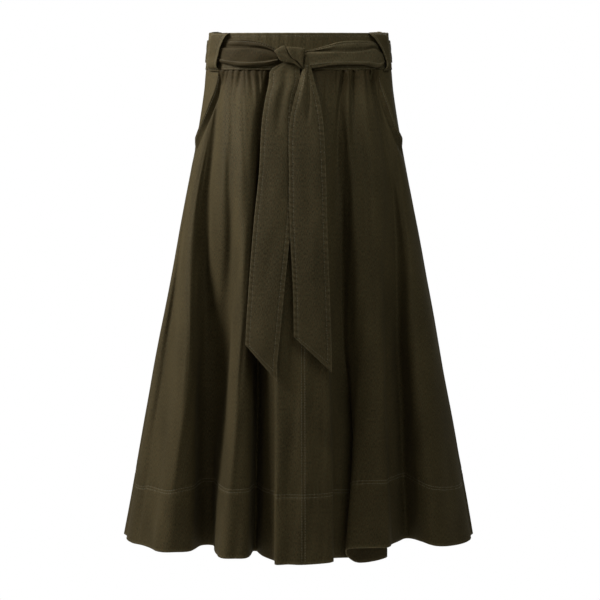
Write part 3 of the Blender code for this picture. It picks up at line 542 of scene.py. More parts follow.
def seam_pinch(line):
    """Sewn seams, at the sides and the centre front, sink into the cloth."""
    seams = (LINE["side_left"], LINE["centre_front"], LINE["side_right"], LINES)
    return -SEAM_PINCH * sum(hill(line - seam, SEAM_PINCH_WIDTH) for seam in seams)


def unevenness(across, down, waves):
    """Waves of different sizes and slants, added up."""
    return sum(size * np.sin(across * turn + turn_down * down + start)
               for size, turn, turn_down, start in waves)


def sag(line, drop):
    """A slow unevenness over the whole cloth."""
    return SAG * unevenness(line, drop, SAG_WAVES) * ramp(drop, 0.0, SAG_FROM)


print("hem stitched", round((SKIRT_DROP - HEM_ROWS[1]) / MM), "mm up")

# %% [markdown]
# ## The twill
# Twill is woven so that each weft thread steps one warp thread further over, which leaves fine ribs on a
# slant. Brushing and washing soften it and bring up a faint sheen. The material lays the ribs out in the
# cloth's own flat measure, in metres, so their size is true everywhere. The colour varies with the rib,
# with thick and thin threads, with warmer and greener threads, and with slow clouds from the dye. Where
# cloth is folded over a stitched edge it wears paler. Shade is painted into the colour as well: the gathers
# just under the belt and the belt's left stretch are made darker. Light is painted onto the belt's right
# stretch, which is made paler in the same way as worn cloth. Each piece carries this on its points, from -1
# for the most painted shade to 1 for rubbed cloth.

# %% Define the node helpers
WAVE_PERIOD = 2 * math.pi / 20   # a wave texture's period at scale 1
NOISE_SPAN = (0.32, 0.68)    # where nearly all of a noise texture's values lie


def fill_sockets(tree, node, inputs):
    """Sets each socket named to a value, or links it to another node's output."""
    for name, value in inputs.items():
        if isinstance(value, bpy.types.NodeSocket):
            tree.links.new(value, node.inputs[name])
        else:
            node.inputs[name].default_value = value


def add_node(tree, kind, x, y, inputs=None, **settings):
    """A node with its settings and its sockets filled in."""
    node = tree.nodes.new(kind)
    node.location = (x, y)
    for name, value in settings.items():
        setattr(node, name, value)
    fill_sockets(tree, node, inputs or {})
    return node


def new_material(name):
    """A material, with its tree and its shader."""
    made = bpy.data.materials.new(name)
    made.use_nodes = True
    return made, made.node_tree, made.node_tree.nodes["Principled BSDF"]


def waves(tree, uv, period, angle, x, y, distortion=0.0):
    """Ribs or threads of one period, turned by an angle, on the cloth's flat measure."""
    turn = add_node(tree, "ShaderNodeMapping", x, y,
                    {"Vector": uv, "Rotation": (0.0, 0.0, math.radians(angle))})
    wave = {"Vector": turn.outputs["Vector"], "Scale": WAVE_PERIOD / period, "Distortion": distortion,
            "Detail": 1.0, "Detail Scale": 0.6}
    return add_node(tree, "ShaderNodeTexWave", x + 180, y, wave, wave_type="BANDS",
                    bands_direction="X").outputs["Fac"]


def noise(tree, uv, size, x, y, longer=1.0, angle=0.0, detail=2.0):
    """Clouds of one size on the cloth's flat measure, longer one way, from 0 to 1."""
    turn = add_node(tree, "ShaderNodeMapping", x, y,
                    {"Vector": uv, "Rotation": (0.0, 0.0, math.radians(angle)),
                     "Scale": (size, size * longer, size)}, vector_type="TEXTURE")
    cloud = add_node(tree, "ShaderNodeTexNoise", x + 180, y,
                     {"Vector": turn.outputs["Vector"], "Scale": 1.0, "Detail": detail})
    return add_node(tree, "ShaderNodeMapRange", x + 360, y,
                    {"Value": cloud.outputs["Fac"], "From Min": NOISE_SPAN[0],
                     "From Max": NOISE_SPAN[1]}).outputs["Result"]


def mixed(tree, share, low, high, x, y):
    """A value between two limits, by a share."""
    return add_node(tree, "ShaderNodeMapRange", x, y,
                    {"Value": share, "To Min": low, "To Max": high}).outputs["Result"]


def arithmetic(tree, a, b, x, y, operation="MULTIPLY"):
    return add_node(tree, "ShaderNodeMath", x, y, {0: a, 1: b}, operation=operation).outputs[0]


def blend(tree, share, a, b, x, y, way="MIX"):
    """Two colours, each given or from another node, mixed by a share."""
    colours = [(*colour, 1.0) if isinstance(colour, tuple) else colour for colour in (a, b)]
    return add_node(tree, "ShaderNodeMix", x, y, {"Factor": share, "A": colours[0], "B": colours[1]},
                    data_type="RGBA", blend_type=way).outputs["Result"]


print("a wave at scale 1 repeats every", round(WAVE_PERIOD, 3), "m")

# %% Weave the twill
RIB = 0.95 * MM              # from one slanting rib to the next
RIB_ANGLE = 58.0
RIB_WAVER = 1.2              # how much the ribs waver
RIB_SHADES = (0.76, 1.20)    # how the cloth's shade varies with each pattern
THREAD_PITCH = 0.48 * MM
THREAD_WAVER = 0.8
SLUB_SIZE = 0.8 * MM         # thick and thin places along the warp
SLUB_LONGER = 5.0            # how many times as long as wide they are
SLUB_SHADES = (0.70, 1.30)
GRAIN_SIZE = 0.8 * MM
GRAIN_SHADES = (0.80, 1.20)
FLECK_SIZE = 2.2 * MM        # warmer and greener threads
FLECK_LONGER = 1.6
CLOUD_SIZE = 60.0 * MM
CLOUD_LONGER = 2.0
FINE_DETAIL = 4.0            # of the noise in the clouds and the flecks
CLOUD_SHADES = (0.88, 1.12)
SHADE_SPAN = (0.55, 1.45)    # the shades that are the dark and the pale colour
WARMER = (1.10, 0.97, 0.90)
GREENER = (0.90, 1.03, 1.04)
PAINTED_SHADE_TINT = (0.56, 0.50, 0.40)   # painted shade: how much darker the colour is made on the gathers under the belt and on the belt's left stretch
WEAR_SHOWS = (0.3, 1.3)      # how much of the wear shows on thin and on thick threads
THREADS_SHOW = (0.6, 1.0)    # how high the ribs stand between the threads and on them
NAP_SHOWS = (0.4, 1.6)       # how much the grain lowers and raises the nap
ROUGHER = 0.08               # how much rougher the dark threads are, and smoother the pale ones
RELIEF = 0.05 * MM


def dye(tree, shade, slub, fleck, dark, pale, worn_and_painted_light):
    """The colour of the cloth: its shade, its wear, its flecks, and the painted shade and painted light that
    the wear values also carry.
    """
    spread = add_node(tree, "ShaderNodeMapRange", -400, 260,
                      {"Value": shade, "From Min": SHADE_SPAN[0], "From Max": SHADE_SPAN[1]})
    tint = blend(tree, spread.outputs["Result"], dark, pale, -260, 200)
    wear_and_painted_light = add_node(tree, "ShaderNodeAttribute", -600, 420, attribute_name="wear_and_painted_light").outputs["Fac"]
    patchy = arithmetic(tree, wear_and_painted_light, mixed(tree, slub, *WEAR_SHOWS, -600, 560), -420, 480)
    # mixing towards the worn colour also paints light on the belt's right stretch
    rubbed_and_painted_light = blend(tree, patchy, tint, worn_and_painted_light, -80, 260)
    hue = blend(tree, fleck, WARMER, GREENER, -80, 520)
    dyed = blend(tree, 1.0, rubbed_and_painted_light, hue, 80, 400, "MULTIPLY")
    # painted shade: values below 0 darken the colour by the painted shade tint
    painted_shade = arithmetic(tree, wear_and_painted_light, -1.0, 80, 700)
    return blend(tree, painted_shade, dyed, PAINTED_SHADE_TINT, 240, 500, "MULTIPLY")


def raise_weave(tree, rib, warp, slub, grain, bump):
    """The bumps of the ribs, the threads and the brushed nap."""
    ribs = arithmetic(tree, rib, mixed(tree, warp, *THREADS_SHOW, -950, 0), -700, -150)
    nap = arithmetic(tree, slub, mixed(tree, grain, *NAP_SHOWS, -600, -500), -500, -450)
    relief = arithmetic(tree, ribs, nap, -420, -400, "ADD")
    return add_node(tree, "ShaderNodeBump", -240, -400,
                    {"Strength": bump, "Distance": RELIEF, "Height": relief}).outputs["Normal"]


def make_twill(name, dark, pale, worn_and_painted_light, roughness, sheen_tint, bump):
    """Brushed cotton twill with slanting ribs, uneven threads, dye clouds, wear and painted shade and light,
    in three colours.
    """
    made, tree, shader = new_material(name)
    uv = add_node(tree, "ShaderNodeUVMap", -1600, 0, uv_map="cloth").outputs["UV"]
    rib = waves(tree, uv, RIB, RIB_ANGLE, -1400, 300, RIB_WAVER)
    warp = waves(tree, uv, THREAD_PITCH, 0.0, -1400, 0, THREAD_WAVER)
    slub = noise(tree, uv, SLUB_SIZE, -1400, -300, SLUB_LONGER)
    grain = noise(tree, uv, GRAIN_SIZE, -1400, -600)
    cloud = noise(tree, uv, CLOUD_SIZE, -1400, -900, CLOUD_LONGER, detail=FINE_DETAIL)
    fleck = noise(tree, uv, FLECK_SIZE, -1400, -1200, FLECK_LONGER, RIB_ANGLE, FINE_DETAIL)
    shade = mixed(tree, rib, *RIB_SHADES, -750, 300)
    for pattern, shades, x, y in ((slub, SLUB_SHADES, -600, -300), (cloud, CLOUD_SHADES, -500, -900),
                                  (grain, GRAIN_SHADES, -420, -600)):
        shade = arithmetic(tree, shade, mixed(tree, pattern, *shades, -750, y), x, 100)
    fill_sockets(tree, shader, {
        "Base Color": dye(tree, shade, slub, fleck, dark, pale, worn_and_painted_light),
        "Roughness": mixed(tree, shade, roughness + ROUGHER, roughness - ROUGHER, -260, -100),
        "Normal": raise_weave(tree, rib, warp, slub, grain, bump),
        "Specular IOR Level": 0.12,
        "Sheen Weight": 0.03,
        "Sheen Roughness": 0.45,
        "Sheen Tint": (*sheen_tint, 1.0),
    })
    return made


twill = make_twill(
    "twill", dark=(0.024, 0.018, 0.0072), pale=(0.098, 0.074, 0.0335), worn_and_painted_light=(0.130, 0.104, 0.054),
    roughness=0.78, sheen_tint=(0.62, 0.55, 0.38), bump=0.55)
# The belt's colours are set darker than the skirt's, which paints shade over the belt, the knot and the
# tails.
belt_twill = make_twill(
    "belt_twill", dark=(0.020, 0.0150, 0.0062), pale=(0.092, 0.070, 0.0330), worn_and_painted_light=(0.120, 0.095, 0.052),
    roughness=0.82, sheen_tint=(0.60, 0.52, 0.38), bump=0.60)
print("materials:", twill.name, belt_twill.name)

# %% [markdown]
# ## Walls of cloth
# Each piece is two sheets of points, the face and the back of the cloth, joined round their edges by a
# rounded rim. A row of a sheet may take twice or half the steps of the row above, so the gathers and the
# hem can be fine where the rest is not. The flat measure that the weave needs is the real distance along
# each row, and the height.

# %% Join rows of points
def row_faces(upper, lower, above, below):
    """Faces between two rows of points, one of which may take half the steps of the other."""
    faces = []
    for j in range(min(upper, lower) - 1):
        if upper == lower:
            faces.append((above + j, below + j, below + j + 1, above + j + 1))
        elif upper > lower:
            faces.append((above + 2 * j, below + j, above + 2 * j + 1))
            faces.append((above + 2 * j + 1, below + j, below + j + 1))
            faces.append((above + 2 * j + 1, below + j + 1, above + 2 * j + 2))
        else:
            faces.append((above + j, below + 2 * j, below + 2 * j + 1))
            faces.append((above + j, below + 2 * j + 1, above + j + 1))
            faces.append((above + j + 1, below + 2 * j + 1, below + 2 * j + 2))
    return faces


def sheet_faces(counts, start):
    """Faces of a whole sheet of rows, and the number of its last row's first point."""
    faces = []
    for upper, lower in zip(counts, counts[1:]):
        faces += row_faces(upper, lower, start, start + upper)
        start += upper
    return faces, start


def end_faces(counts, inside, total):
    """The two ends of a wall, from its top rim to its bottom rim."""
    faces = []
    first = np.concatenate([[0], np.cumsum(counts)[:-1]])
    back = total + np.concatenate([[0], np.cumsum(inside)[:-1]])
    pairs = [(int(a), int(b)) for a, b in zip(first[1:-1], back)]
    ends = [(a + n - 1, b + n - 1) for (a, b), n in zip(pairs, inside)]
    for (a, b), (c, d) in zip(pairs, pairs[1:]):
        faces.append((a, b, d, c))
    for (a, b), (c, d) in zip(ends, ends[1:]):
        faces.append((a, c, d, b))
    faces.append((0, pairs[0][1], pairs[0][0]))
    faces.append((int(first[-1]), pairs[-1][0], pairs[-1][1]))
    faces.append((counts[0] - 1, ends[0][0], ends[0][1]))
    faces.append((int(first[-1]) + counts[-1] - 1, ends[-1][1], ends[-1][0]))
    return faces


print("two rows of 3 points make", len(row_faces(3, 3, 0, 3)), "faces")

# %% Build a wall
RIM_ROUND = 0.42             # how far a rim stands out, as a share of the cloth's thickness
SHARP_ANGLE = 75.0           # edges sharper than this stay crisp


def flat_measure(rows):
    """Distance along each row from its middle, and height, for each point."""
    flat = []
    for row in rows:
        along = np.concatenate([[0.0], np.cumsum(np.linalg.norm(np.diff(row, axis=0), axis=1))])
        flat.append(np.stack([along - along[len(along) // 2], row[:, 2]], axis=1))
    return np.concatenate(flat)


def rim_row(face, back, beyond):
    """Points that round off an edge, half way between the face and the back and a little beyond."""
    middle = (face + back) / 2
    thick = np.linalg.norm(face - back, axis=1, keepdims=True)
    return middle + unit(middle - beyond) * thick * RIM_ROUND


def add_mesh(name, points, faces, flat, wear_and_painted_light, finish, sharp=SHARP_ANGLE):
    """A mesh object with the cloth's flat measure as its UV map, and its wear and its painted shade and light
    on its points.
    """
    mesh = bpy.data.meshes.new(name)
    mesh.from_pydata(points.tolist(), [], faces)
    corners = np.empty(len(mesh.loops), dtype=np.int32)
    mesh.loops.foreach_get("vertex_index", corners)
    mesh.uv_layers.new(name="cloth").data.foreach_set("uv", flat[corners].ravel())
    mesh.attributes.new("wear_and_painted_light", "FLOAT", "POINT").data.foreach_set("value", wear_and_painted_light)
    mesh.materials.append(finish)
    mesh.shade_smooth()
    mesh.set_sharp_from_angle(angle=math.radians(sharp))
    return add_object(name, mesh)


def add_wall(name, rows, finish):
    """A closed wall. A row is the points of its face, those of its back, and its wear with its painted shade
    and light; rows run down.
    """
    outer, inner, wear_and_painted_light = (list(part) for part in zip(*rows))
    skip = len(outer[1]) // len(outer[0]) or 1
    outer = [rim_row(outer[0], inner[0], outer[1][::skip]), *outer,
             rim_row(outer[-1], inner[-1], outer[-2])]
    wear_and_painted_light = [wear_and_painted_light[0], *wear_and_painted_light, wear_and_painted_light[-1]]
    counts = [len(row) for row in outer]
    inside = [len(row) for row in inner]
    total = sum(counts)
    faces, bottom = sheet_faces(counts, 0)
    back_faces, back_bottom = sheet_faces(inside, total)
    faces += [face[::-1] for face in back_faces]
    faces += [(j, j + 1, total + j + 1, total + j) for j in range(counts[0] - 1)]
    faces += [(bottom + j + 1, bottom + j, back_bottom + j, back_bottom + j + 1)
              for j in range(counts[-1] - 1)]
    faces += end_faces(counts, inside, total)
    points = np.concatenate([*outer, *inner])
    flat = np.concatenate([flat_measure(outer), flat_measure(inner)])
    worn_and_painted_light = np.concatenate([*wear_and_painted_light, *wear_and_painted_light[1:-1]])
    made = add_mesh(name, points, faces, flat, worn_and_painted_light, finish)
    print(name, len(faces), "faces")
    return made


print("a rim stands out", RIM_ROUND, "of its cloth's thickness")

# %% [markdown]
# ## The panels
# Two fronts and a back are cut wider at the hem than at the waist. The rows of points lie close together at
# the gathers and at the hem's stitching. The hem is turned up inside, so the wall is double from the
# stitches down.

# %% Lay out a panel's rows
GATHER_DROP = 0.060
GATHER_STEP = 3.0 * MM
BODY_STEP = 7.0 * MM
HEM_STEP = 3.0 * MM
HEM_ZONE = 0.590             # fine rows start here
STITCH_MARGIN = 2.0 * MM     # kept free above the hem's stitches
LAST_STEP = 1.5 * MM         # from the row before the last one to the hem's edge
BESIDE_STITCHES = (-1.4, -0.7, 0.0, 0.7, 1.4)   # millimetres, of the rows at each row of stitches
FINE_STEPS = 16              # points from one fold line to the next
BODY_STEPS = 8


def panel_drops():
    """How far down each row lies, and how many steps it takes between fold lines."""
    rows = [(d, FINE_STEPS) for d in np.arange(0.0, GATHER_DROP, GATHER_STEP)]
    rows += [(d, BODY_STEPS) for d in np.arange(GATHER_DROP, HEM_ZONE, BODY_STEP)]
    close = [row + beside * MM for row in HEM_ROWS for beside in BESIDE_STITCHES]
    after = np.arange(HEM_ROWS[1] + HEM_STEP, SKIRT_DROP - HEM_STEP, HEM_STEP)
    before = np.arange(HEM_ZONE, HEM_ROWS[0] - STITCH_MARGIN, HEM_STEP)
    ends = (SKIRT_DROP - LAST_STEP, SKIRT_DROP)
    return rows + [(d, FINE_STEPS) for d in sorted([*before, *close, *after, *ends])]


def lines_between(first, last, steps=FINE_STEPS):
    """Line numbers from one fold line to another, in even steps."""
    return np.linspace(first, last, (last - first) * steps + 1)


def at_edges(points, across):
    """Draws a row's two ends in by a hair, so that sewn panels meet without cutting each other."""
    points[0] += across[0] * SEWN_GAP
    points[-1] -= across[-1] * SEWN_GAP
    return points


def cloth_point(line, drop, has_pocket, proud=0.0):
    """Points of the dressed cloth (folds, gathers, creases, sewing), proud of it if asked."""
    z = height_at(line, drop, has_pocket)
    across, out = skirt_frame(line, z)
    fine = creases(line, drop) + hem_sewing(line, drop) + seam_pinch(line) + sag(line, drop)
    return skirt_surface(line, z) + out * (fine + proud)[:, None], across, out


print(len(panel_drops()), "rows down a panel")

# %% Make a panel
HEM_TURN = HEM_ROWS[0] - 1.0 * MM   # from here down the cloth is double
WEAR_REACH = 1.6 * MM
STITCH_WEAR = 0.25
POCKET_WEAR = 0.8
POCKET_WEAR_REACH = 2.5 * MM
POCKET_WEAR_START = 3.0      # degrees of the slant over which its wear begins
PAINTED_SHADE_UNDER_BELT = 0.85         # painted shade: how much darker the gathers just under the belt are made
PAINTED_SHADE_REACH = (0.000, 0.050)   # metres below the seam, over which that painted shade fades


def edge_wear_and_painted_shade(line, drop, has_pocket):
    """Where a panel is rubbed (its hem edge, its stitched rows, the pocket's lip), and the painted shade on
    its gathers just under the belt.
    """
    slant = ramp(np.abs(seam_angle(line)), POCKET_ANGLE, POCKET_ANGLE + POCKET_WEAR_START)
    slant = slant * has_pocket
    stitched = sum(hill(drop - row, WEAR_REACH) for row in HEM_ROWS)
    worn_and_painted_light = hill(drop - SKIRT_DROP, WEAR_REACH) + STITCH_WEAR * stitched
    below = SEAM_Z - height_at(line, drop, has_pocket)
    # painted shade: the gathers just under the belt are made darker, except at the pocket's slant
    worn_and_painted_light = worn_and_painted_light - PAINTED_SHADE_UNDER_BELT * (1 - ramp(below, *PAINTED_SHADE_REACH)) * (1 - slant)
    worn_and_painted_light = worn_and_painted_light + POCKET_WEAR * slant * hill(drop, POCKET_WEAR_REACH)
    return np.clip(worn_and_painted_light, -1.0, 1.0)


def panel_rows(first, last, has_pocket):
    """Rows of a panel from one fold line to another, from the waist seam to the hem."""
    for drop, steps in panel_drops():
        line = lines_between(first, last, steps)
        face, across, out = cloth_point(line, drop, has_pocket)
        thick = HEM_CLOTH if drop > HEM_TURN else CLOTH
        face = at_edges(face, across)
        yield face, face - out * thick, edge_wear_and_painted_shade(line, drop, has_pocket)


left_front = add_wall("left_front_cloth", panel_rows(LINE["side_left"], LINE["centre_front"], True), twill)
right_front = add_wall("right_front_cloth", panel_rows(LINE["centre_front"], LINE["side_right"], True), twill)
back_panel = add_wall("back_cloth", panel_rows(LINE["side_right"], LINES, False), twill)

# %% [markdown]
# ## The pocket facings
# A facing lies under the slanted edge, level with the side of the skirt above the opening and tucked
# under the front below it.

# %% Make the pocket facings
FACING_LEVELS = 25
FACING_SINK = POCKET_TROUGH * POCKET_LIP + SOLID_CLOTH + SEAM_GAP   # below the front that covers it


def facing_rows(first, last):
    """Rows of the facing that fills the corner cut away at a pocket."""
    line = lines_between(first, last)
    line = line[np.abs(seam_angle(line)) > POCKET_ANGLE - POCKET_BESIDE]
    top = np.full(len(line), SEAM_Z - SEAM_GAP / 2)
    bottom = pocket_edge(seam_angle(line)) - POCKET_UNDERLAP
    for share in np.linspace(0.0, 1.0, FACING_LEVELS):
        z = top + (bottom - top) * share
        across, out = skirt_frame(line, z)
        above = ramp(z - pocket_edge(seam_angle(line)), *POCKET_BLEND)
        sink = FACING_SINK * (1 - above) - seam_pinch(line) * above
        face = at_edges(skirt_surface(line, z, False) - out * sink[:, None], across)
        yield face, face - out * CLOTH, np.zeros(len(line))


left_facing = add_wall("left_pocket_cloth", facing_rows(LINE["side_left"], LINE["hip_ridge"]), twill)
right_facing = add_wall("right_pocket_cloth", facing_rows(LINE["hip_ridge_right"], LINE["side_right"]),
                        twill)

# %% [markdown]
# ## The waistband
# The front half is a faced band, flat and firm. Its top edge is folded, and a row of stitches near it
# keeps the facing in. The back half is a casing: the elastic inside draws it into upright ruffles, and
# the rows of stitches through the elastic pinch them.

# %% Make the front waistband
BAND_ROWS = (0.0225, -0.0215, -0.0245)   # heights of the stitches on the front band
SIDE_RADIUS = 0.1            # at a side seam a turn of one radian is this far
BAND_END = math.degrees(SEAM_GAP / 2 / SIDE_RADIUS)   # degrees from a side seam to the end of each half
BAND_POINTS = 241
BAND_LEVELS = 46
BAND_RIM = 0.4 * MM          # left above and below for the rounded rims
BAND_GROOVE = 0.30 * MM      # the stitches' groove: its depth and its width
BAND_GROOVE_WIDTH = 1.2 * MM
BAND_RIPPLE = 0.22 * MM
BAND_WAVES = ((1.0, 0.9, 60.0, 0.0), (0.6, 2.3, -90.0, 1.0))   # as for the sag, by degrees and metres
BAND_WEAR = 0.7
BAND_WEAR_REACH = 1.5 * MM


def band_ring(angle, z, out):
    """Points round the waist at one height, or at a height for each, out from the band's middle."""
    return oval(angle, np.full(len(angle), z) if np.isscalar(z) else z, out)


def band_ripple(angle, z):
    """The slight unevenness of a sewn band, which fades out towards the side seams."""
    groove = sum(hill(z - row, BAND_GROOVE_WIDTH) for row in BAND_ROWS)
    inside = ramp(90.0 - np.abs(angle), 0.0, 6.0)
    return BAND_RIPPLE * unevenness(angle, z, BAND_WAVES) * inside - BAND_GROOVE * groove


def band_front_rows():
    angle = np.linspace(-90.0 + BAND_END, 90.0 - BAND_END, BAND_POINTS)
    for z in np.linspace(BAND_TOP_Z - BAND_RIM, SEAM_Z + SEAM_GAP / 2 + BAND_RIM, BAND_LEVELS):
        yield (band_ring(angle, z, BAND_CLOTH / 2 + band_ripple(angle, z)),
               band_ring(angle, z, np.full(len(angle), -BAND_CLOTH / 2)),
               np.full(len(angle), BAND_WEAR * hill(z - BAND_TOP_Z, BAND_WEAR_REACH)))


band_front = add_wall("band_front_cloth", band_front_rows(), twill)

# %% Make the elasticated waistband
ELASTIC_WAVES = 34
ELASTIC_LEVELS = 44
ELASTIC_HEIGHT = 1.3 * MM
ELASTIC_SECOND = 0.28        # the smaller waves on top of the ruffles
ELASTIC_RISE = 0.3 * MM      # how far its top edge stands above the front band's
ELASTIC_FLUTTER = 0.3 * MM   # how far that edge goes up and down
ELASTIC_PEAK = 1.7 * MM      # how far that edge stands up at the peaks below
ELASTIC_PEAKS = ((116.0, 9.0), (250.0, 7.0))   # the angle and the width of each, in degrees
ELASTIC_ROWS = (0.0215, 0.0075, -0.0075, -0.0215)
ELASTIC_PINCH = 0.45         # how much of the ruffles the stitches take away
ELASTIC_PINCH_WIDTH = 1.8 * MM
ELASTIC_GROOVE = 0.25 * MM
ELASTIC_MIDDLE = 0.72        # of the ruffles' height is left half way down


def ruffles(angle):
    """How far each ruffle of the elasticated band stands out."""
    share = (angle - 90.0) / 180.0
    ends = np.clip(np.minimum(share, 1 - share) * 16, 0.0, 1.0)
    turn = 2 * math.pi * ELASTIC_WAVES * share + 0.7 * np.sin(19 * share)
    second = ELASTIC_SECOND * np.sin(2 * turn + 4.0 * np.sin(11 * share))
    return ends * ELASTIC_HEIGHT * (np.sin(turn) + second)


def band_back_rows():
    angle = np.linspace(90.0 + BAND_END, 270.0 - BAND_END, ELASTIC_WAVES * 14 + 1)
    wave = ruffles(angle)
    peak = ELASTIC_PEAK * sum(hill(angle - at, width) for at, width in ELASTIC_PEAKS)
    for level in np.linspace(0.0, 1.0, ELASTIC_LEVELS):
        z = BAND_TOP_Z + ELASTIC_RISE + (SEAM_Z + SEAM_GAP / 2 - BAND_TOP_Z - ELASTIC_RISE) * level
        pinch = sum(hill(z - row, ELASTIC_PINCH_WIDTH) for row in ELASTIC_ROWS)
        full = ELASTIC_MIDDLE + (1 - ELASTIC_MIDDLE) * (2 * level - 1) ** 2
        full = full * (1 - ELASTIC_PINCH * pinch)
        top = (ELASTIC_FLUTTER * np.sin(angle * 0.62) + peak) * (1 - level) ** 4
        yield (band_ring(angle, z + top, BAND_CLOTH / 2 + full * wave - ELASTIC_GROOVE * pinch),
               band_ring(angle, z + top, -BAND_CLOTH / 2 + full * wave),
               np.full(len(angle), 0.6 * hill(level, 0.03)))


band_back = add_wall("band_back_cloth", band_back_rows(), twill)

# %% [markdown]
# ## The carrier loops
# Each loop is a doubled strip, sewn down at the top edge of the band and at the seam, and standing off
# between so that the belt can pass under it.

# %% Make the loops
LOOP_CLOTH = 1.4 * MM
LOOP_FRONT_STAND_OFF = 6.4 * MM
LOOP_BACK_STAND_OFF = 4.4 * MM
LOOP_STITCHES = (0.13, 0.87)   # how far across a loop its two rows are
LOOP_GROOVE = 0.25 * MM
LOOP_GROOVE_WIDTH = 0.05     # a share of the loop's width
LOOP_CURL = 0.35 * MM
LOOP_WEAR = 0.7
LOOP_WEAR_REACH = 0.07       # a share of the loop's width
LOOPS = {
    # level (1 is the band's top, -1 its seam), front edge and back edge in degrees
    "left_loop_cloth": ((1.00, -49.0, -71.0), (0.55, -52.5, -71.0), (0.0, -55.5, -71.0),
                        (-0.55, -57.0, -71.0), (-1.08, -57.0, -71.0)),
    "right_loop_cloth": ((1.00, 49.0, 71.0), (0.55, 54.5, 71.5), (0.0, 60.5, 72.0),
                         (-0.55, 64.0, 72.5), (-1.08, 64.0, 72.5)),
}


def loop_row(name, level, across, proud=0.0):
    """Points across a loop at one level, proud of the band by its stand-off."""
    table = np.array(LOOPS[name])[::-1]
    front, back = through(table[:, 0], table[:, 1:], level)
    arch = 1 - min(1.0, abs(level)) ** 9
    raised = arch * (LOOP_FRONT_STAND_OFF + (LOOP_BACK_STAND_OFF - LOOP_FRONT_STAND_OFF) * across)
    curl = LOOP_CURL * np.sin(9.0 * level + 2.0 * across)
    stitched = LOOP_GROOVE * sum(hill(across - place, LOOP_GROOVE_WIDTH) for place in LOOP_STITCHES)
    out = BAND_CLOTH / 2 + SEAM_GAP + raised * (1 + 0.04 * np.sin(5 * level)) + arch * curl * 0.5
    out = out + proud - stitched * (proud > 0)
    return band_ring(front + (back - front) * across, level * BAND_HEIGHT / 2, out)


def loop_rows(name):
    """Rows down a loop, closer together where it is sewn down."""
    across = np.linspace(0.0, 1.0, 25)
    if name.startswith("left"):
        across = across[::-1]
    wear_and_painted_light = LOOP_WEAR * (hill(across, LOOP_WEAR_REACH) + hill(across - 1, LOOP_WEAR_REACH))
    for level in (*np.linspace(1.0, 0.8, 9), *np.linspace(0.74, -0.74, 30), *np.linspace(-0.8, -1.06, 10)):
        yield loop_row(name, level, across, LOOP_CLOTH), loop_row(name, level, across), wear_and_painted_light


left_loop, right_loop = [add_wall(name, loop_rows(name), twill) for name in LOOPS]

# %% [markdown]
# ## The belt round the waist
# The belt is a long doubled strip. Behind, it lies nearly flat on the ruffles. From each loop to the knot
# it is creased lengthwise: its lower layer lies over its upper one, and the creases run together at the
# knot.

# %% Make the belt behind
BELT_BACK_FROM = 62.6        # degrees from the centre front to each of its ends
BELT_BACK_HALF_WIDTH = 0.0165
BELT_BACK_EASE = 0.5 * MM
BELT_BACK_CLOTH = 1.3 * MM   # pulled tight round the waist, and pressed thin
BELT_BACK_LAY = BAND_CLOTH / 2 + 0.1 * MM
BELT_BACK_STITCHES = (0.72, -0.72)   # levels of its two rows
BELT_BACK_GROOVE = 0.25 * MM
BELT_BACK_ROUND = 0.8 * MM   # how far its edges curve in
BELT_BACK_SOFT = 0.35 * MM
BELT_BACK_CREASE = 0.5 * MM
BELT_BACK_WEAR = 0.6
BELT_BACK_WEAR_REACH = 0.06  # in levels


def belt_back_row(angle, level, proud):
    """Points along the belt behind, at a level from 1 (top edge) to -1 (bottom edge)."""
    ruffled = np.clip((np.minimum(angle, 360.0 - angle) - 88.0) / 8.0, 0.0, 1.0)
    lay = BELT_BACK_LAY + ruffled * (ELASTIC_HEIGHT * 1.1 + BELT_BACK_EASE)
    soft = BELT_BACK_SOFT * np.sin(angle * 0.21 + 2.2 * level) * ruffled
    crease = BELT_BACK_CREASE * hill(level - 0.25 * np.sin(angle * 0.035), 0.16)
    edge = BELT_BACK_GROOVE * sum(hill(level - row, 0.10) for row in BELT_BACK_STITCHES)
    edge = edge + BELT_BACK_ROUND * level ** 6
    out = lay + proud + (proud > 0) * (soft * 0.5 - crease * ruffled - edge + 0.2 * MM)
    return band_ring(angle, level * BELT_BACK_HALF_WIDTH, out)


def belt_back_rows():
    angle = np.linspace(BELT_BACK_FROM, 360.0 - BELT_BACK_FROM, 281)
    for level in np.linspace(1.0, -1.0, 33):
        worn_and_painted_light = hill(level - 1, BELT_BACK_WEAR_REACH) + hill(level + 1, BELT_BACK_WEAR_REACH)
        yield (belt_back_row(angle, level, BELT_BACK_CLOTH), belt_back_row(angle, level, 0.0),
               np.full(len(angle), BELT_BACK_WEAR * worn_and_painted_light))


belt_back = add_wall("belt_back_cloth", belt_back_rows(), belt_twill)

# %% Make the belt's front stretches
BELTS = {
    # angle in degrees, then top, bottom, height of the crease and how far the belt stands out, in
    # millimetres
    "belt_left_cloth": (
        (-61.0, 17.6, -13.5,  4.6, 4.4), (-52.0, 17.6, -17.5,  4.2, 5.2), (-42.0, 17.4, -20.4,  4.0, 6.4),
        (-33.0, 17.0, -21.8,  3.8, 6.8), (-25.0, 14.2, -21.0,  3.4, 7.2), (-18.0, 8.6, -18.4,  0.6, 8.0),
        (-12.2, 0.8, -14.2, -4.4, 8.6)),
    "belt_right_cloth": (
        (3.2, 0.0, -13.0, -2.6, 8.6), (6.0, 1.4, -23.0, -1.6, 9.4), (11.0, 4.6, -23.0, -1.2, 9.8),
        (17.0, 8.4, -20.4, -1.2, 9.8), (25.0, 13.4, -19.4, -1.2, 9.6), (35.0, 15.4, -19.2, -1.0, 9.2),
        (45.0, 15.4, -20.0, 0.8, 8.4), (52.0, 14.8, -22.8, 3.2, 7.4), (58.0, 11.0, -23.0, -1.0, 6.0),
        (64.5, 4.0, -16.0, -5.0, 4.4)),
}
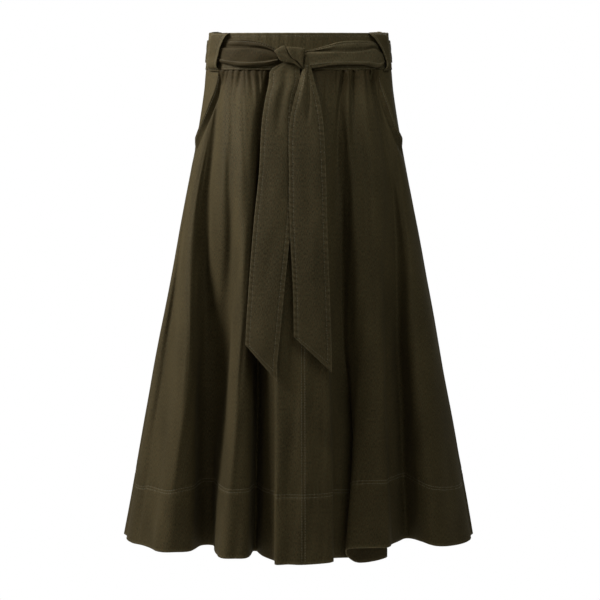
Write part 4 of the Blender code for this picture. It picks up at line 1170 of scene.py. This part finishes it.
# One fold of the belt from its top edge over the crease to its bottom edge: how far along, whether it is
# on the lower layer, and millimetres out from that layer's level.
BELT_FOLD = (
    (0.00, 0, -3.6), (0.07, 0, -2.6), (0.20, 0, -2.9), (0.32, 0, -2.2), (0.55, 0, -2.4), (0.85, 0, -4.6),
    (1.02, 0, -4.4), (1.04, 1, -0.9), (0.97, 1, 0.35), (0.80, 1, 0.35), (0.45, 1, -0.2), (0.26, 1, -0.5),
    (0.20, 1, 0.15), (0.08, 1, -0.4), (0.00, 1, -2.2),
)
BELT_POINTS = 101            # along a front stretch
BELT_LAY = BAND_CLOTH / 2 + 2 * SEAM_GAP
BELT_PAINTED_SHADE_AND_LIGHT = {"belt_left_cloth": 0.60, "belt_right_cloth": -0.50}   # + paints shade on a stretch, making it darker; - paints light on it, making it paler
FAN_HEIGHT = 0.55 * MM       # of the small creases that run together at the knot
FAN_FROM = 10.0              # degrees from the middle to where they are highest
FAN_REACH = 16.0
BELT_SOFT = 0.3 * MM
BELT_STEPS = 4               # rows from one place of the fold's section to the next
BELT_WEAR = 0.7


def belt_rows(name, count):
    """Points of a front stretch: one row for each place down its folded section."""
    table = np.array(BELTS[name])
    angle = np.linspace(table[0, 0], table[-1, 0], count)
    top, bottom, crease, stand = (through(table[:, 0], table[:, 1:] * MM, angle)).T
    fold = np.array(BELT_FOLD)
    place = np.linspace(0.0, len(fold) - 1.0, (len(fold) - 1) * BELT_STEPS + 1)
    section = through(np.arange(len(fold)), fold, place)
    near = hill(np.abs(angle) - FAN_FROM, FAN_REACH)
    rows = []
    for at, (share, lower, offset) in zip(place, section):
        upper_z = top + (crease - top) * share
        lower_z = bottom + (crease - bottom) * share
        z = upper_z + (lower_z - upper_z) * np.clip(lower, 0.0, 1.0)
        fan = FAN_HEIGHT * near * np.sin(2.3 * at + 0.05 * angle)
        soft = BELT_SOFT * np.sin(angle * 0.33 + at)
        out = np.maximum(stand + offset * MM + fan + soft, BELT_LAY + BELT_CLOTH * 0.6)
        rows.append((angle, z, out))
    return rows


def belt_stretch_rows(name):
    """Rows of a front stretch, as a wall."""
    rows = belt_rows(name, BELT_POINTS)
    for number, (angle, z, out) in enumerate(rows):
        end = min(number, len(rows) - 1 - number) / 2.0
        # the left stretch takes painted shade and the right stretch painted light, on top of the wear at the
        # ends
        yield (band_ring(angle, z, out), band_ring(angle, z, np.maximum(out - 2 * BELT_CLOTH, BELT_LAY)),
               np.full(len(angle), BELT_WEAR * hill(end, 0.8) - BELT_PAINTED_SHADE_AND_LIGHT[name]))


belt_left, belt_right = [add_wall(name, belt_stretch_rows(name), belt_twill) for name in BELTS]

# %% [markdown]
# ## The knot
# The belt's right end wraps over its left end from the upper left to the lower right, and comes out below
# as a tail. The knot is three lumps of cloth pressed together: the wrap, the flat fold that comes over its
# right side, and what they are tied round. Each is a crowned patch inside a smooth outline, with
# creases along the pull of the cloth.

# %% List the outlines of the knot
# x and z of each outline, in millimetres from the middle of the waist.
KNOT_WRAP = (
    (-35.5, 0.8), (-29.0, 5.2), (-23.0, 8.4), (-19.0, 7.2), (-16.6, 2.0), (-13.6, -5.2), (-8.0, -11.4),
    (-1.0, -16.4), (5.6, -25.0), (1.4, -23.4), (-4.0, -19.4), (-11.0, -17.2), (-19.0, -16.4), (-25.4, -13.6),
    (-28.6, -10.8), (-31.4, -5.0),
)
KNOT_FLAP = (
    (-17.6, 5.8), (-16.4, 6.8), (-4.0, 6.2), (7.6, 4.8), (8.6, 3.8), (8.0, -4.0), (7.0, -12.0), (6.6, -19.0),
    (6.2, -24.0), (3.4, -19.6), (-1.4, -14.6), (-7.4, -10.8), (-12.0, -5.4), (-15.4, 0.6),
)
KNOT_CORE = ((-20.0, 3.0), (4.0, 2.0), (4.0, -13.0), (-20.0, -13.0))
print("outlines of", len(KNOT_WRAP), len(KNOT_FLAP), len(KNOT_CORE), "points")

# %% Crown a lump of cloth
OUTLINE_STEPS = 6            # points from one corner of an outline to the next
RING_SIZES = (1.0, 0.985, 0.95, 0.88, 0.78, 0.66, 0.52, 0.36, 0.18)


def front_point(x, z, out):
    """Points in front of the skirt at x and z, out from its oval."""
    width, front, _ = through(BASE_ROWS[:, 0], BASE_ROWS[:, 1:], z).T
    angle = np.degrees(np.arcsin(x / width))
    at = oval(angle, z, out)
    return np.stack([x, at[:, 1], z], axis=1)


def smooth_outline(corners):
    """A closed curve through an outline's points."""
    p = np.array(corners) * MM
    at = np.arange(len(p) * OUTLINE_STEPS) / OUTLINE_STEPS
    k = np.floor(at).astype(int)
    return bend(*(p[(k + n) % len(p)] for n in (-1, 0, 1, 2)), (at - k)[:, None])


def crowned_patch(outline, back, rim, crown, pull, pleat, apart):
    """Rings of points of a crowned patch, from its back edge to its middle, and its faces."""
    edge = smooth_outline(outline)
    middle = edge.mean(0)
    pull = np.array(pull) / np.hypot(*pull)
    rings = [front_point(*edge.T, np.full(len(edge), back))]
    for size in RING_SIZES:
        ring = middle + (edge - middle) * size
        rise = (1 - size ** 8) ** 0.6
        beside = ring @ np.array((-pull[1], pull[0]))
        along = ring @ pull
        crease = pleat * np.sin(beside / apart + 0.9 * np.sin(along / (4 * MM))) * (1 - size ** 8)
        rings.append(front_point(*ring.T, rim + (crown - rim) * rise + crease))
    tip = front_point(*middle[:, None], np.array([crown]))
    count = len(edge)
    faces = [tuple(range(count))]
    for start in range(0, (len(rings) - 1) * count, count):
        for j in range(count):
            a, b = start + j, start + (j + 1) % count
            faces.append((a, a + count, b + count, b))
    last = (len(rings) - 1) * count
    faces += [(last + j, last + count, last + (j + 1) % count) for j in range(count)]
    return np.concatenate([*rings, tip]), faces


def face_out(made):
    """Turns an object's faces outward."""
    work = bmesh.new()
    work.from_mesh(made.data)
    bmesh.ops.recalc_face_normals(work, faces=work.faces)
    work.to_mesh(made.data)
    work.free()
    return made


print("a lump has", len(RING_SIZES), "rings")

# %% Make the knot
KNOT_BACK = 9.3 * MM         # out from the skirt's oval, as the next three are
CORE_BACK = 2.2 * MM
KNOT_RIM = 12.0 * MM
KNOT_CROWN = 14.2 * MM
FLAP_LIFT = 2.4 * MM         # the flap lies over the wrap
KNOT_WEAR = 0.6              # along the rims
KNOT_SHARP = 60.0            # degrees
KNOT_LUMPS = (
    # outline, back, rim, crown, which way the cloth is pulled, how high and how far apart its creases are
    (KNOT_WRAP, KNOT_BACK, KNOT_RIM, KNOT_CROWN, (1.0, -0.9), 0.55 * MM, 1.9 * MM),
    (KNOT_FLAP, KNOT_BACK, KNOT_RIM + FLAP_LIFT, KNOT_CROWN + FLAP_LIFT, (0.5, -1.0), 0.30 * MM, 2.6 * MM),
    (KNOT_CORE, CORE_BACK, KNOT_RIM - 1.0 * MM, KNOT_RIM, (1.0, 0.0), 0.2 * MM, 1.5 * MM),
)


def make_knot():
    """The lumps of the knot, in one mesh."""
    points, faces, wear_and_painted_light, start = [], [], [], 0
    for outline, *shape in KNOT_LUMPS:
        lump, sides = crowned_patch(outline, *shape)
        points.append(lump)
        faces += [tuple(start + corner for corner in face) for face in sides]
        count = len(outline) * OUTLINE_STEPS
        worn_and_painted_light = np.zeros(len(lump))
        worn_and_painted_light[count:3 * count] = KNOT_WEAR
        wear_and_painted_light.append(worn_and_painted_light)
        start += len(lump)
    points = np.concatenate(points)
    made = add_mesh("knot_cloth", points, faces, points[:, [0, 2]], np.concatenate(wear_and_painted_light), belt_twill,
                    KNOT_SHARP)
    return face_out(made)


knot = make_knot()
print(knot.name, len(knot.data.polygons), "faces")

# %% [markdown]
# ## The tails
# Below the knot the two ends of the belt hang down the front, cut on a slant. Near the knot they are still
# folded, and lower down they open out flat. Their edges are turned in and stitched, so they pucker a
# little.

# %% List the edges and folds of the tails
TAILS = {
    # height, left edge, right edge, and the face's distance from the skirt's oval at the left edge, the
    # ridge and the right edge, in millimetres
    "tail_left_cloth": (
        (-16.0, -23.0, -3.0, 8.4, 8.4, 8.4), (-25.0, -38.6, 1.0, 8.8, 9.4, 8.0),
        (-47.0, -42.9, 0.5, 9.8, 11.4, 7.4), (-63.0, -47.2, -4.5, 10.3, 11.9, 7.0),
        (-99.0, -53.0, -8.5, 10.6, 10.5, 7.8), (-177.0, -57.6, -8.0, 11.6, 11.2, 8.4),
        (-237.0, -64.0, -10.0, 12.2, 12.2, 9.2), (-297.0, -69.2, -16.0, 12.8, 12.0, 10.0),
        (-344.0, -72.6, -20.8, 13.2, 12.6, 10.4), (-402.0, -76.2, -26.4, 13.8, 13.2, 11.0),
        (-447.0, -77.6, -31.0, 14.2, 13.4, 11.4)),
    "tail_right_cloth": (
        (-8.0, 9.2, 11.2, 10.8, 11.2, 10.8), (-20.0, 7.4, 16.8, 11.0, 12.8, 11.0),
        (-33.0, 3.4, 20.6, 11.6, 14.0, 11.4), (-50.0, -1.2, 24.8, 12.2, 14.4, 12.0),
        (-68.0, -6.4, 29.6, 12.2, 14.1, 12.9), (-99.0, -12.6, 35.0, 11.8, 13.6, 14.8),
        (-177.0, -14.2, 39.4, 12.2, 14.9, 16.4), (-260.0, -12.4, 41.6, 12.8, 15.3, 17.0),
        (-344.0, -8.2, 44.6, 13.4, 16.1, 17.6), (-434.0, -6.6, 47.8, 14.0, 15.9, 18.2)),
}
# Soft folds of the tails: how far across, heights of the two ends in millimetres, how far across it moves
# on its way down, width (a share of the tail) and depth in millimetres.
TAIL_FOLDS = {
    "tail_left_cloth": ((0.52, -18.0, -120.0, 0.02, 0.13, -2.2), (0.80, -25.0, -100.0, 0.0, 0.12, 1.2),
                        (0.25, -150.0, -260.0, 0.1, 0.14, -0.8), (0.62, -250.0, -360.0, -0.2, 0.18, -0.9),
                        (0.40, -380.0, -440.0, 0.2, 0.2, 0.8), (0.75, -130.0, -210.0, -0.1, 0.15, 0.7)),
    "tail_right_cloth": ((0.62, -12.0, -105.0, -0.08, 0.07, -2.8), (0.30, -20.0, -90.0, 0.0, 0.12, 0.9),
                         (0.45, -140.0, -250.0, 0.1, 0.16, -0.9), (0.70, -230.0, -330.0, -0.15, 0.18, 0.8),
                         (0.35, -320.0, -420.0, 0.15, 0.2, -0.8), (0.8, -110.0, -170.0, 0.0, 0.14, 0.8)),
}
print("each tail has", [len(folds) for folds in TAIL_FOLDS.values()], "soft folds")

# %% Make the tails
TAIL_RIDGE = 0.38            # how far across the ridge is
TAIL_POINT = 0.051           # metres that the end slants down, from one edge to the other
TAIL_STITCH = 6.0 * MM       # from a tail's edge to its stitches
TAIL_GROOVE = 0.4 * MM
TAIL_GROOVE_WIDTH = 1.1 * MM
TAIL_PUCKER = 0.45 * MM
TAIL_PUCKER_LENGTH = 9.0 * MM
TAIL_PUCKER_SLANT = 3.0 * MM   # inward, for each radian of a pucker
TAIL_FOLDED = 0.04           # the share of the way down over which the soft folds begin
TAIL_WEAR = 0.7
TAIL_WEAR_REACH = (0.022, 0.004)   # from the edges, as a share across, and from the end, as a share down
TAIL_POINTS = 49
TAIL_LEVELS = 221


def tail_edges(name):
    """The table of a tail in metres with rising heights, and its top and its low end."""
    table = np.array(TAILS[name])[::-1] * MM
    return table, table[-1, 0], table[0, 0]


def tail_folds(name, across, z):
    """How far the soft folds push a tail's face in or out."""
    push = np.zeros(len(across))
    for place, start, end, lean, width, depth in TAIL_FOLDS[name]:
        along = np.clip((z / MM - start) / (end - start), 0.0, 1.0)
        push += depth * MM * np.sin(math.pi * along) ** 0.7 * hill(across - place - lean * along, width)
    return push


def tail_row(name, share, across, proud=0.0):
    """Points across a tail, at a share of the way down it."""
    table, top, low = tail_edges(name)
    z = top + (low - top) * share - TAIL_POINT * share ** 8 * (across - 0.5)
    left, right, at_left, at_ridge, at_right = through(table[:, 0], table[:, 1:], z).T
    rise = np.sin(math.pi / 2 * np.minimum(across / TAIL_RIDGE, (1 - across) / (1 - TAIL_RIDGE)))
    out = at_left + (at_right - at_left) * across
    out = out + (at_ridge - (at_left + at_right) / 2) * np.maximum(rise, 0.0) ** 1.5
    inside = np.minimum(across, 1 - across) * (right - left)
    groove = TAIL_GROOVE * hill(inside - TAIL_STITCH, TAIL_GROOVE_WIDTH)
    turn = 2 * math.pi * z / TAIL_PUCKER_LENGTH + 2.0 * np.sin(z / 0.017)
    slant = np.where(across < 0.5, 1.0, -1.0) * inside / TAIL_PUCKER_SLANT
    pucker = TAIL_PUCKER * np.sin(turn + slant) * hill(inside - 0.5 * TAIL_STITCH, 0.8 * TAIL_STITCH)
    out = out + tail_folds(name, across, z) * ramp(share, 0.0, TAIL_FOLDED) - groove + pucker
    return front_point(left + (right - left) * across, z, out + proud)


def tail_rows(name):
    across = np.linspace(0.0, 1.0, TAIL_POINTS)
    for share in np.linspace(0.0, 1.0, TAIL_LEVELS):
        face = tail_row(name, share, across)
        edge = hill(np.minimum(across, 1 - across), TAIL_WEAR_REACH[0]) + hill(1 - share, TAIL_WEAR_REACH[1])
        yield face, face - (0.0, -BELT_CLOTH, 0.0), np.clip(TAIL_WEAR * edge, 0.0, 1.0)


tail_left, tail_right = [add_wall(name, tail_rows(name), belt_twill) for name in TAILS]

# %% [markdown]
# ## Stitches
# Topstitching is one shape repeated along a path: a short bridge of thread, a dip into the cloth, the next
# bridge. Geometry Nodes does that well. A tree takes lines that lie on the cloth, spaces points along
# them, sets a small rounded stitch on each, turned along the line, and makes real mesh of them.

# %% Dye the thread
THREAD_RADIUS = 0.26 * MM
THREAD_PROUD = 0.3 * THREAD_RADIUS   # how far its middle stands off the cloth
STITCH_SPACING = 3.8 * MM
STITCH_LENGTH = 2.7 * MM
PLY = 0.4 * MM               # from one twist of the thread to the next
PLY_ANGLE = 40.0
PLY_SHADES = (0.5, 1.0)
TONE_SIZE = 16.0 * MM        # of the paler and darker stretches
TONE_SHADES = (0.3, 1.4)


def make_thread(name, dark, pale):
    """Twisted cotton thread, a little paler than the cloth, with its ply as fine stripes."""
    made, tree, shader = new_material(name)
    place = add_node(tree, "ShaderNodeTexCoord", -900, 0).outputs["Object"]
    ply = waves(tree, place, PLY, PLY_ANGLE, -700, 100)
    tone = noise(tree, place, TONE_SIZE, -900, -200)
    shade = arithmetic(tree, mixed(tree, ply, *PLY_SHADES, -450, 100),
                       mixed(tree, tone, *TONE_SHADES, -450, -200), -320, 0)
    fill_sockets(tree, shader, {"Base Color": blend(tree, shade, dark, pale, -200, 100),
                                "Roughness": 0.6, "Sheen Weight": 0.2})
    return made


thread = make_thread("thread", (0.105, 0.088, 0.050), (0.215, 0.182, 0.112))
print("thread", round(2 * THREAD_RADIUS / MM, 2), "mm thick")

# %% Grow the stitch tree
def make_stitch_tree():
    """A Geometry Nodes tree that sets stitches along the lines it is given."""
    tree = bpy.data.node_groups.new("stitches", "GeometryNodeTree")
    tree.is_modifier = True
    sockets = tree.interface
    sockets.new_socket("Geometry", in_out="INPUT", socket_type="NodeSocketGeometry")
    for name, value in (("Spacing", STITCH_SPACING), ("Length", STITCH_LENGTH), ("Radius", THREAD_RADIUS)):
        sockets.new_socket(name, in_out="INPUT", socket_type="NodeSocketFloat").default_value = value
    sockets.new_socket("Thread", in_out="INPUT", socket_type="NodeSocketMaterial")
    sockets.new_socket("Geometry", in_out="OUTPUT", socket_type="NodeSocketGeometry")

    given = add_node(tree, "NodeGroupInput", -900, 0).outputs
    curve = add_node(tree, "GeometryNodeMeshToCurve", -700, 100, {"Mesh": given["Geometry"]})
    spaced = add_node(tree, "GeometryNodeResampleCurve", -500, 100,
                      {"Curve": curve.outputs["Curve"], "Length": given["Spacing"]}, mode="LENGTH")
    stitch = add_node(tree, "GeometryNodeMeshUVSphere", -700, -200,
                      {"Segments": 6, "Rings": 4, "Radius": 1.0})
    tangent = add_node(tree, "GeometryNodeInputTangent", -700, -400)
    turned = add_node(tree, "FunctionNodeAlignRotationToVector", -500, -400,
                      {"Vector": tangent.outputs["Tangent"]}, axis="X")
    half_length = arithmetic(tree, given["Length"], 0.5, -700, -600)
    size = add_node(tree, "ShaderNodeCombineXYZ", -500, -600,
                    {"X": half_length, "Y": given["Radius"], "Z": given["Radius"]})
    set_out = add_node(tree, "GeometryNodeInstanceOnPoints", -250, 0, {
        "Points": spaced.outputs["Curve"], "Instance": stitch.outputs["Mesh"],
        "Rotation": turned.outputs["Rotation"], "Scale": size.outputs["Vector"]})
    real = add_node(tree, "GeometryNodeRealizeInstances", -50, 0, {"Geometry": set_out.outputs["Instances"]})
    smooth = add_node(tree, "GeometryNodeSetShadeSmooth", 120, 0, {"Geometry": real.outputs["Geometry"]})
    dyed = add_node(tree, "GeometryNodeSetMaterial", 290, 0,
                    {"Geometry": smooth.outputs["Geometry"], "Material": given["Thread"]})
    add_node(tree, "NodeGroupOutput", 460, 0, {"Geometry": dyed.outputs["Geometry"]})
    return tree


stitch_tree = make_stitch_tree()
print("tree", stitch_tree.name, "has", len(stitch_tree.nodes), "nodes")

# %% Sew along lines
STITCH_FACES = 24            # of one stitch: 6 round, in 4 rings


def sew(name, lines, spacing=STITCH_SPACING, length=STITCH_LENGTH, radius=THREAD_RADIUS):
    """Stitches along lines of points that lie on the cloth, as one plain mesh."""
    edges, start = [], 0
    for line in lines:
        edges += [(start + j, start + j + 1) for j in range(len(line) - 1)]
        start += len(line)
    mesh = bpy.data.meshes.new(name + "_path")
    mesh.from_pydata(np.concatenate(lines).tolist(), edges, [])
    path = add_object(name + "_path", mesh)
    sewing = path.modifiers.new("stitches", "NODES")
    sewing.node_group = stitch_tree
    values = {"Spacing": spacing, "Length": length, "Radius": radius, "Thread": thread}
    for item in stitch_tree.interface.items_tree:
        if item.in_out == "INPUT" and item.name in values:
            sewing[item.identifier] = values[item.name]
    ready = path.evaluated_get(bpy.context.evaluated_depsgraph_get())
    sewn = bpy.data.meshes.new_from_object(ready)
    sewn.name = name
    made = add_object(name, sewn)
    bpy.data.objects.remove(path)
    bpy.data.meshes.remove(mesh)
    print(name, len(sewn.polygons) // STITCH_FACES, "stitches")
    return made

# %% [markdown]
# ## Where the rows of stitches run
# The hem has two rows all round. The front seam is topstitched. The pockets have a row along the lip.
# The band, the loops and the belt are stitched along their edges.

# %% Sew the skirt
SEAM_STITCH = 0.10           # fold lines from the seam to its row of stitches
SEAM_ROW = (0.004, SKIRT_DROP - 0.002)   # how far down the seam's rows start and end
POCKET_STITCH = 5.0 * MM


def sewn_row(line, drop, has_pocket):
    """A row of stitches at line numbers, at one drop."""
    return cloth_point(line, np.full(len(line), drop), has_pocket, THREAD_PROUD)[0]


def hem_lines(first, last, has_pocket):
    """The hem's two rows on one panel."""
    line = lines_between(first, last)[1:-1]
    return [sewn_row(line, row, has_pocket) for row in HEM_ROWS]


def seam_line(place):
    """A row of stitches down beside the centre-front seam."""
    line = np.array([place])
    return np.array([sewn_row(line, drop, False)[0] for drop in np.arange(*SEAM_ROW, 4.0 * MM)])


def pocket_line(first, last):
    """The row along a pocket's lip."""
    line = lines_between(first, last)[1:-1]
    return sewn_row(line[np.abs(seam_angle(line)) > POCKET_ANGLE], POCKET_STITCH, True)


left_sewing = sew("left_front_stitches", [
    *hem_lines(LINE["side_left"], LINE["centre_front"], True),
    pocket_line(LINE["side_left"], LINE["hip_ridge"]),
    seam_line(LINE["centre_front"] - SEAM_STITCH),
])
right_sewing = sew("right_front_stitches", [
    *hem_lines(LINE["centre_front"], LINE["side_right"], True),
    pocket_line(LINE["hip_ridge_right"], LINE["side_right"]),
    seam_line(LINE["centre_front"] + SEAM_STITCH),
])
back_sewing = sew("back_stitches", hem_lines(LINE["side_right"], LINES, False))

# %% Sew the waistband and the loops
CLOSE_STITCHES = (2.6 * MM, 2.1 * MM)   # spacing and length on the band and the loops
ELASTIC_STITCHES = (2.8 * MM, 2.3 * MM)
LOOP_TACKS = (0.93, -0.98)   # levels of the bar tacks


def band_lines():
    """The front band's rows."""
    angle = np.linspace(-89.0, 89.0, 240)
    return [band_ring(angle, z, BAND_CLOTH / 2 + band_ripple(angle, z) + THREAD_PROUD) for z in BAND_ROWS]


def elastic_lines():
    """The rows through the elastic."""
    angle = np.linspace(91.0, 269.0, ELASTIC_WAVES * 8)
    return [band_ring(angle, z, BAND_CLOTH / 2 + 0.48 * ruffles(angle) + 0.1 * MM) for z in ELASTIC_ROWS]


def loop_lines(name):
    """Two rows down a loop, and the bar tacks at its ends."""
    levels = np.linspace(0.96, -1.0, 60)
    rows = [np.array([loop_row(name, level, np.array([side]), LOOP_CLOTH)[0] for level in levels])
            for side in LOOP_STITCHES]
    return rows + [loop_row(name, level, np.linspace(0.1, 0.9, 12), LOOP_CLOTH) for level in LOOP_TACKS]


band_sewing = sew("band_front_stitches", band_lines(), *CLOSE_STITCHES)
elastic_sewing = sew("band_back_stitches", elastic_lines(), *ELASTIC_STITCHES)
left_loop_sewing = sew("left_loop_stitches", loop_lines("left_loop_cloth"), *CLOSE_STITCHES)
right_loop_sewing = sew("right_loop_stitches", loop_lines("right_loop_cloth"), *CLOSE_STITCHES)

# %% Sew the belt
BELT_THREAD = 0.19 * MM      # sunk deeper, so less of it shows
BELT_STITCH_ROWS = (8, 46)   # of a front stretch's rows: on the upper layer and on the lower one
TAIL_STITCH_SHARES = (0.03, 0.985)   # of the way down a tail, where its rows start and end


def belt_back_lines():
    """The two rows of the belt behind."""
    angle = np.linspace(BELT_BACK_FROM + 1.0, 359.0 - BELT_BACK_FROM, 280)
    return [belt_back_row(angle, level, BELT_BACK_CLOTH + THREAD_PROUD) for level in BELT_BACK_STITCHES]


def belt_lines(name):
    """The two rows of a front stretch."""
    rows = [belt_rows(name, BELT_POINTS)[number] for number in BELT_STITCH_ROWS]
    return [band_ring(angle, z, out + THREAD_PROUD)[2:-2] for angle, z, out in rows]


def tail_lines(name):
    """The row that runs down one edge of a tail, across its slanted end and up the other edge."""
    table, top, low = tail_edges(name)
    start, end = TAIL_STITCH_SHARES
    sides = ([], [])
    for share in np.linspace(start, end, 220):
        left, right = through(table[:, 0], table[:, 1:3], top + (low - top) * share)
        inset = min(TAIL_STITCH / (right - left), 0.45)
        for side, across in zip(sides, (inset, 1 - inset)):
            side.append(tail_row(name, share, np.array([across]), THREAD_PROUD)[0])
    return [*map(np.array, sides), tail_row(name, end, np.linspace(0.14, 0.86, 24), THREAD_PROUD)]


belt_back_sewing = sew("belt_back_stitches", belt_back_lines(), radius=BELT_THREAD)
belt_left_sewing = sew("belt_left_stitches", belt_lines("belt_left_cloth"), radius=BELT_THREAD)
belt_right_sewing = sew("belt_right_stitches", belt_lines("belt_right_cloth"), radius=BELT_THREAD)
tail_left_sewing = sew("tail_left_stitches", tail_lines("tail_left_cloth"), radius=BELT_THREAD)
tail_right_sewing = sew("tail_right_stitches", tail_lines("tail_right_cloth"), radius=BELT_THREAD)

# %% [markdown]
# ## Each piece on the body, with its solid hidden
# Each cloth piece rides on the one body of the part, and its solid is hidden. The table also holds a
# cutter's figures for how large each piece was before it was sewn: the width at its widest, the length, and
# the area where the cut isn't a rectangle.

# %% Put each piece on the body and hide its solid
CUTS = (
    # piece, its stitches, solid, slot, cut width, cut length, cut area or None, how it is held
    (left_front, left_sewing, "front_left", "twill", 0.500, 0.820, 0.284, "gathered"),
    (right_front, right_sewing, "front_right", "twill", 0.500, 0.820, 0.270, "gathered"),
    (back_panel, back_sewing, "back", "twill", 0.850, 0.820, 0.480, "gathered"),
    (left_facing, None, "pocket_facing_left", "twill", 0.080, 0.110, 0.0066, "hung"),
    (right_facing, None, "pocket_facing_right", "twill", 0.080, 0.110, 0.0070, "hung"),
    (band_front, band_sewing, "waistband_front", "twill", 0.380, 0.054, None, "stretched"),
    (band_back, elastic_sewing, "waistband_back", "twill", 0.440, 0.056, None, "gathered"),
    (left_loop, left_loop_sewing, "loop_left", "twill", 0.034, 0.058, None, "stretched"),
    (right_loop, right_loop_sewing, "loop_right", "twill", 0.027, 0.058, None, "stretched"),
    (belt_back, belt_back_sewing, "belt_back", "belt_twill", 0.500, 0.034, None, "stretched"),
    (belt_left, belt_left_sewing, "belt_left", "belt_twill", 0.110, 0.045, None, "folded"),
    (belt_right, belt_right_sewing, "belt_right", "belt_twill", 0.125, 0.045, None, "folded"),
    (knot, None, "belt_knot", "belt_twill", 0.060, 0.045, None, "folded"),
    (tail_left, tail_left_sewing, "tail_left", "belt_twill", 0.050, 0.450, None, "hung"),
    (tail_right, tail_right_sewing, "tail_right", "belt_twill", 0.050, 0.450, None, "hung"),
)
for piece, stitches, solid, slot, width, length, area, held in CUTS:
    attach(piece, "root")
    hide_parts(solid)
    sewing = [stitches] if stitches else []
    for sewn in sewing:
        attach(sewn, "root")
print(len(CUTS), "pieces of cloth")

# %% [markdown]
# ## The studio
# The key light is a soft box well round to the left, a little above the waist. It rakes across the folds,
# so each tube goes from light to dark and throws its shadow into the next valley. A weaker box at the
# front right, a wide one overhead and the faint light of the room keep the shadows readable. A small soft
# spot from the left picks out the belt and the gathers below it, and a box behind shows the back. Below is
# a pale round floor. Whatever the camera sees past the skirt is plain white paper, and that paper gives
# no light of its own to the cloth.

# %% Lay the floor
FLOOR_Z = -1.05              # a waist hangs about this far above the floor
FLOOR_RADIUS = 0.95
FLOOR_SIDES = 64
FLOOR_PALE = (0.80, 0.79, 0.76, 1.0)


def make_floor():
    """A pale round floor below the skirt."""
    turn = np.linspace(0.0, 2 * math.pi, FLOOR_SIDES, endpoint=False)
    points = [(FLOOR_RADIUS * math.cos(a), FLOOR_RADIUS * math.sin(a), FLOOR_Z) for a in turn]
    mesh = bpy.data.meshes.new("floor")
    mesh.from_pydata(points, [], [tuple(range(FLOOR_SIDES))])
    paint, tree, shader = new_material("floor_paint")
    fill_sockets(tree, shader, {"Base Color": FLOOR_PALE, "Roughness": 0.9, "Specular IOR Level": 0.1})
    mesh.materials.append(paint)
    return add_object("floor", mesh)


floor = make_floor()
print("floor at", FLOOR_Z)

# %% Hang the lights
SKIRT_HIP = (0.0, 0.0, -0.15)
BELT_RIGHT = (0.075, -0.10, -0.002)
SPOT_PLACE = (-0.45, -0.85, 0.45)
SPOT_CONE = 11.5             # degrees
SPOT_POWER = 11.0
SPOT_BLEND = 0.8             # how much of the cone is soft edge
SPOT_RADIUS = 0.03
PLAIN = (1.0, 1.0, 1.0)
COOL = (0.92, 1.0, 1.0)
ROOM_LIGHT = (1.0, 0.97, 0.80)
ROOM_STRENGTH = 0.125
SOFT_BOXES = (
    # name, place, width, height, power, colour
    ("key", (-1.13, -0.22, 0.62), 0.5, 0.6, 24.5, PLAIN),
    ("front", (0.55, -0.95, 0.72), 0.8, 0.8, 5.0, COOL),
    ("overhead", (0.0, -0.7, 2.2), 1.5, 1.2, 9.0, PLAIN),
    ("behind", (0.35, 2.2, 0.60), 1.2, 1.2, 16.0, PLAIN),
)


def add_light(name, kind, place, target, power, **settings):
    """A light of one kind that points at a target."""
    data = bpy.data.lights.new(name, kind)
    data.energy = power
    for setting, value in settings.items():
        setattr(data, setting, value)
    point_at(add_object(name, data), place, target)


def make_room():
    """Faint warm light from all round, and plain white where the camera looks past the skirt."""
    room = bpy.data.worlds.new("room")
    room.use_nodes = True
    tree = room.node_tree
    faint = tree.nodes["Background"]
    fill_sockets(tree, faint, {"Color": (*ROOM_LIGHT, 1.0), "Strength": ROOM_STRENGTH})
    paper = add_node(tree, "ShaderNodeBackground", 0, -200, {"Color": (1.0, 1.0, 1.0, 1.0)})
    seen = add_node(tree, "ShaderNodeLightPath", -200, 300).outputs["Is Camera Ray"]
    either = add_node(tree, "ShaderNodeMixShader", 200, 0, {
        0: seen, 1: faint.outputs["Background"], 2: paper.outputs["Background"]})
    fill_sockets(tree, tree.nodes["World Output"], {"Surface": either.outputs["Shader"]})
    return room


for name, place, width, height, power, colour in SOFT_BOXES:
    add_light(name, "AREA", place, SKIRT_HIP, power, shape="RECTANGLE", size=width, size_y=height,
              color=colour)
add_light("waist", "SPOT", SPOT_PLACE, BELT_RIGHT, SPOT_POWER, spot_size=math.radians(SPOT_CONE),
          spot_blend=SPOT_BLEND, shadow_soft_size=SPOT_RADIUS)
bpy.context.scene.world = make_room()
bpy.context.scene.view_settings.view_transform = "Standard"
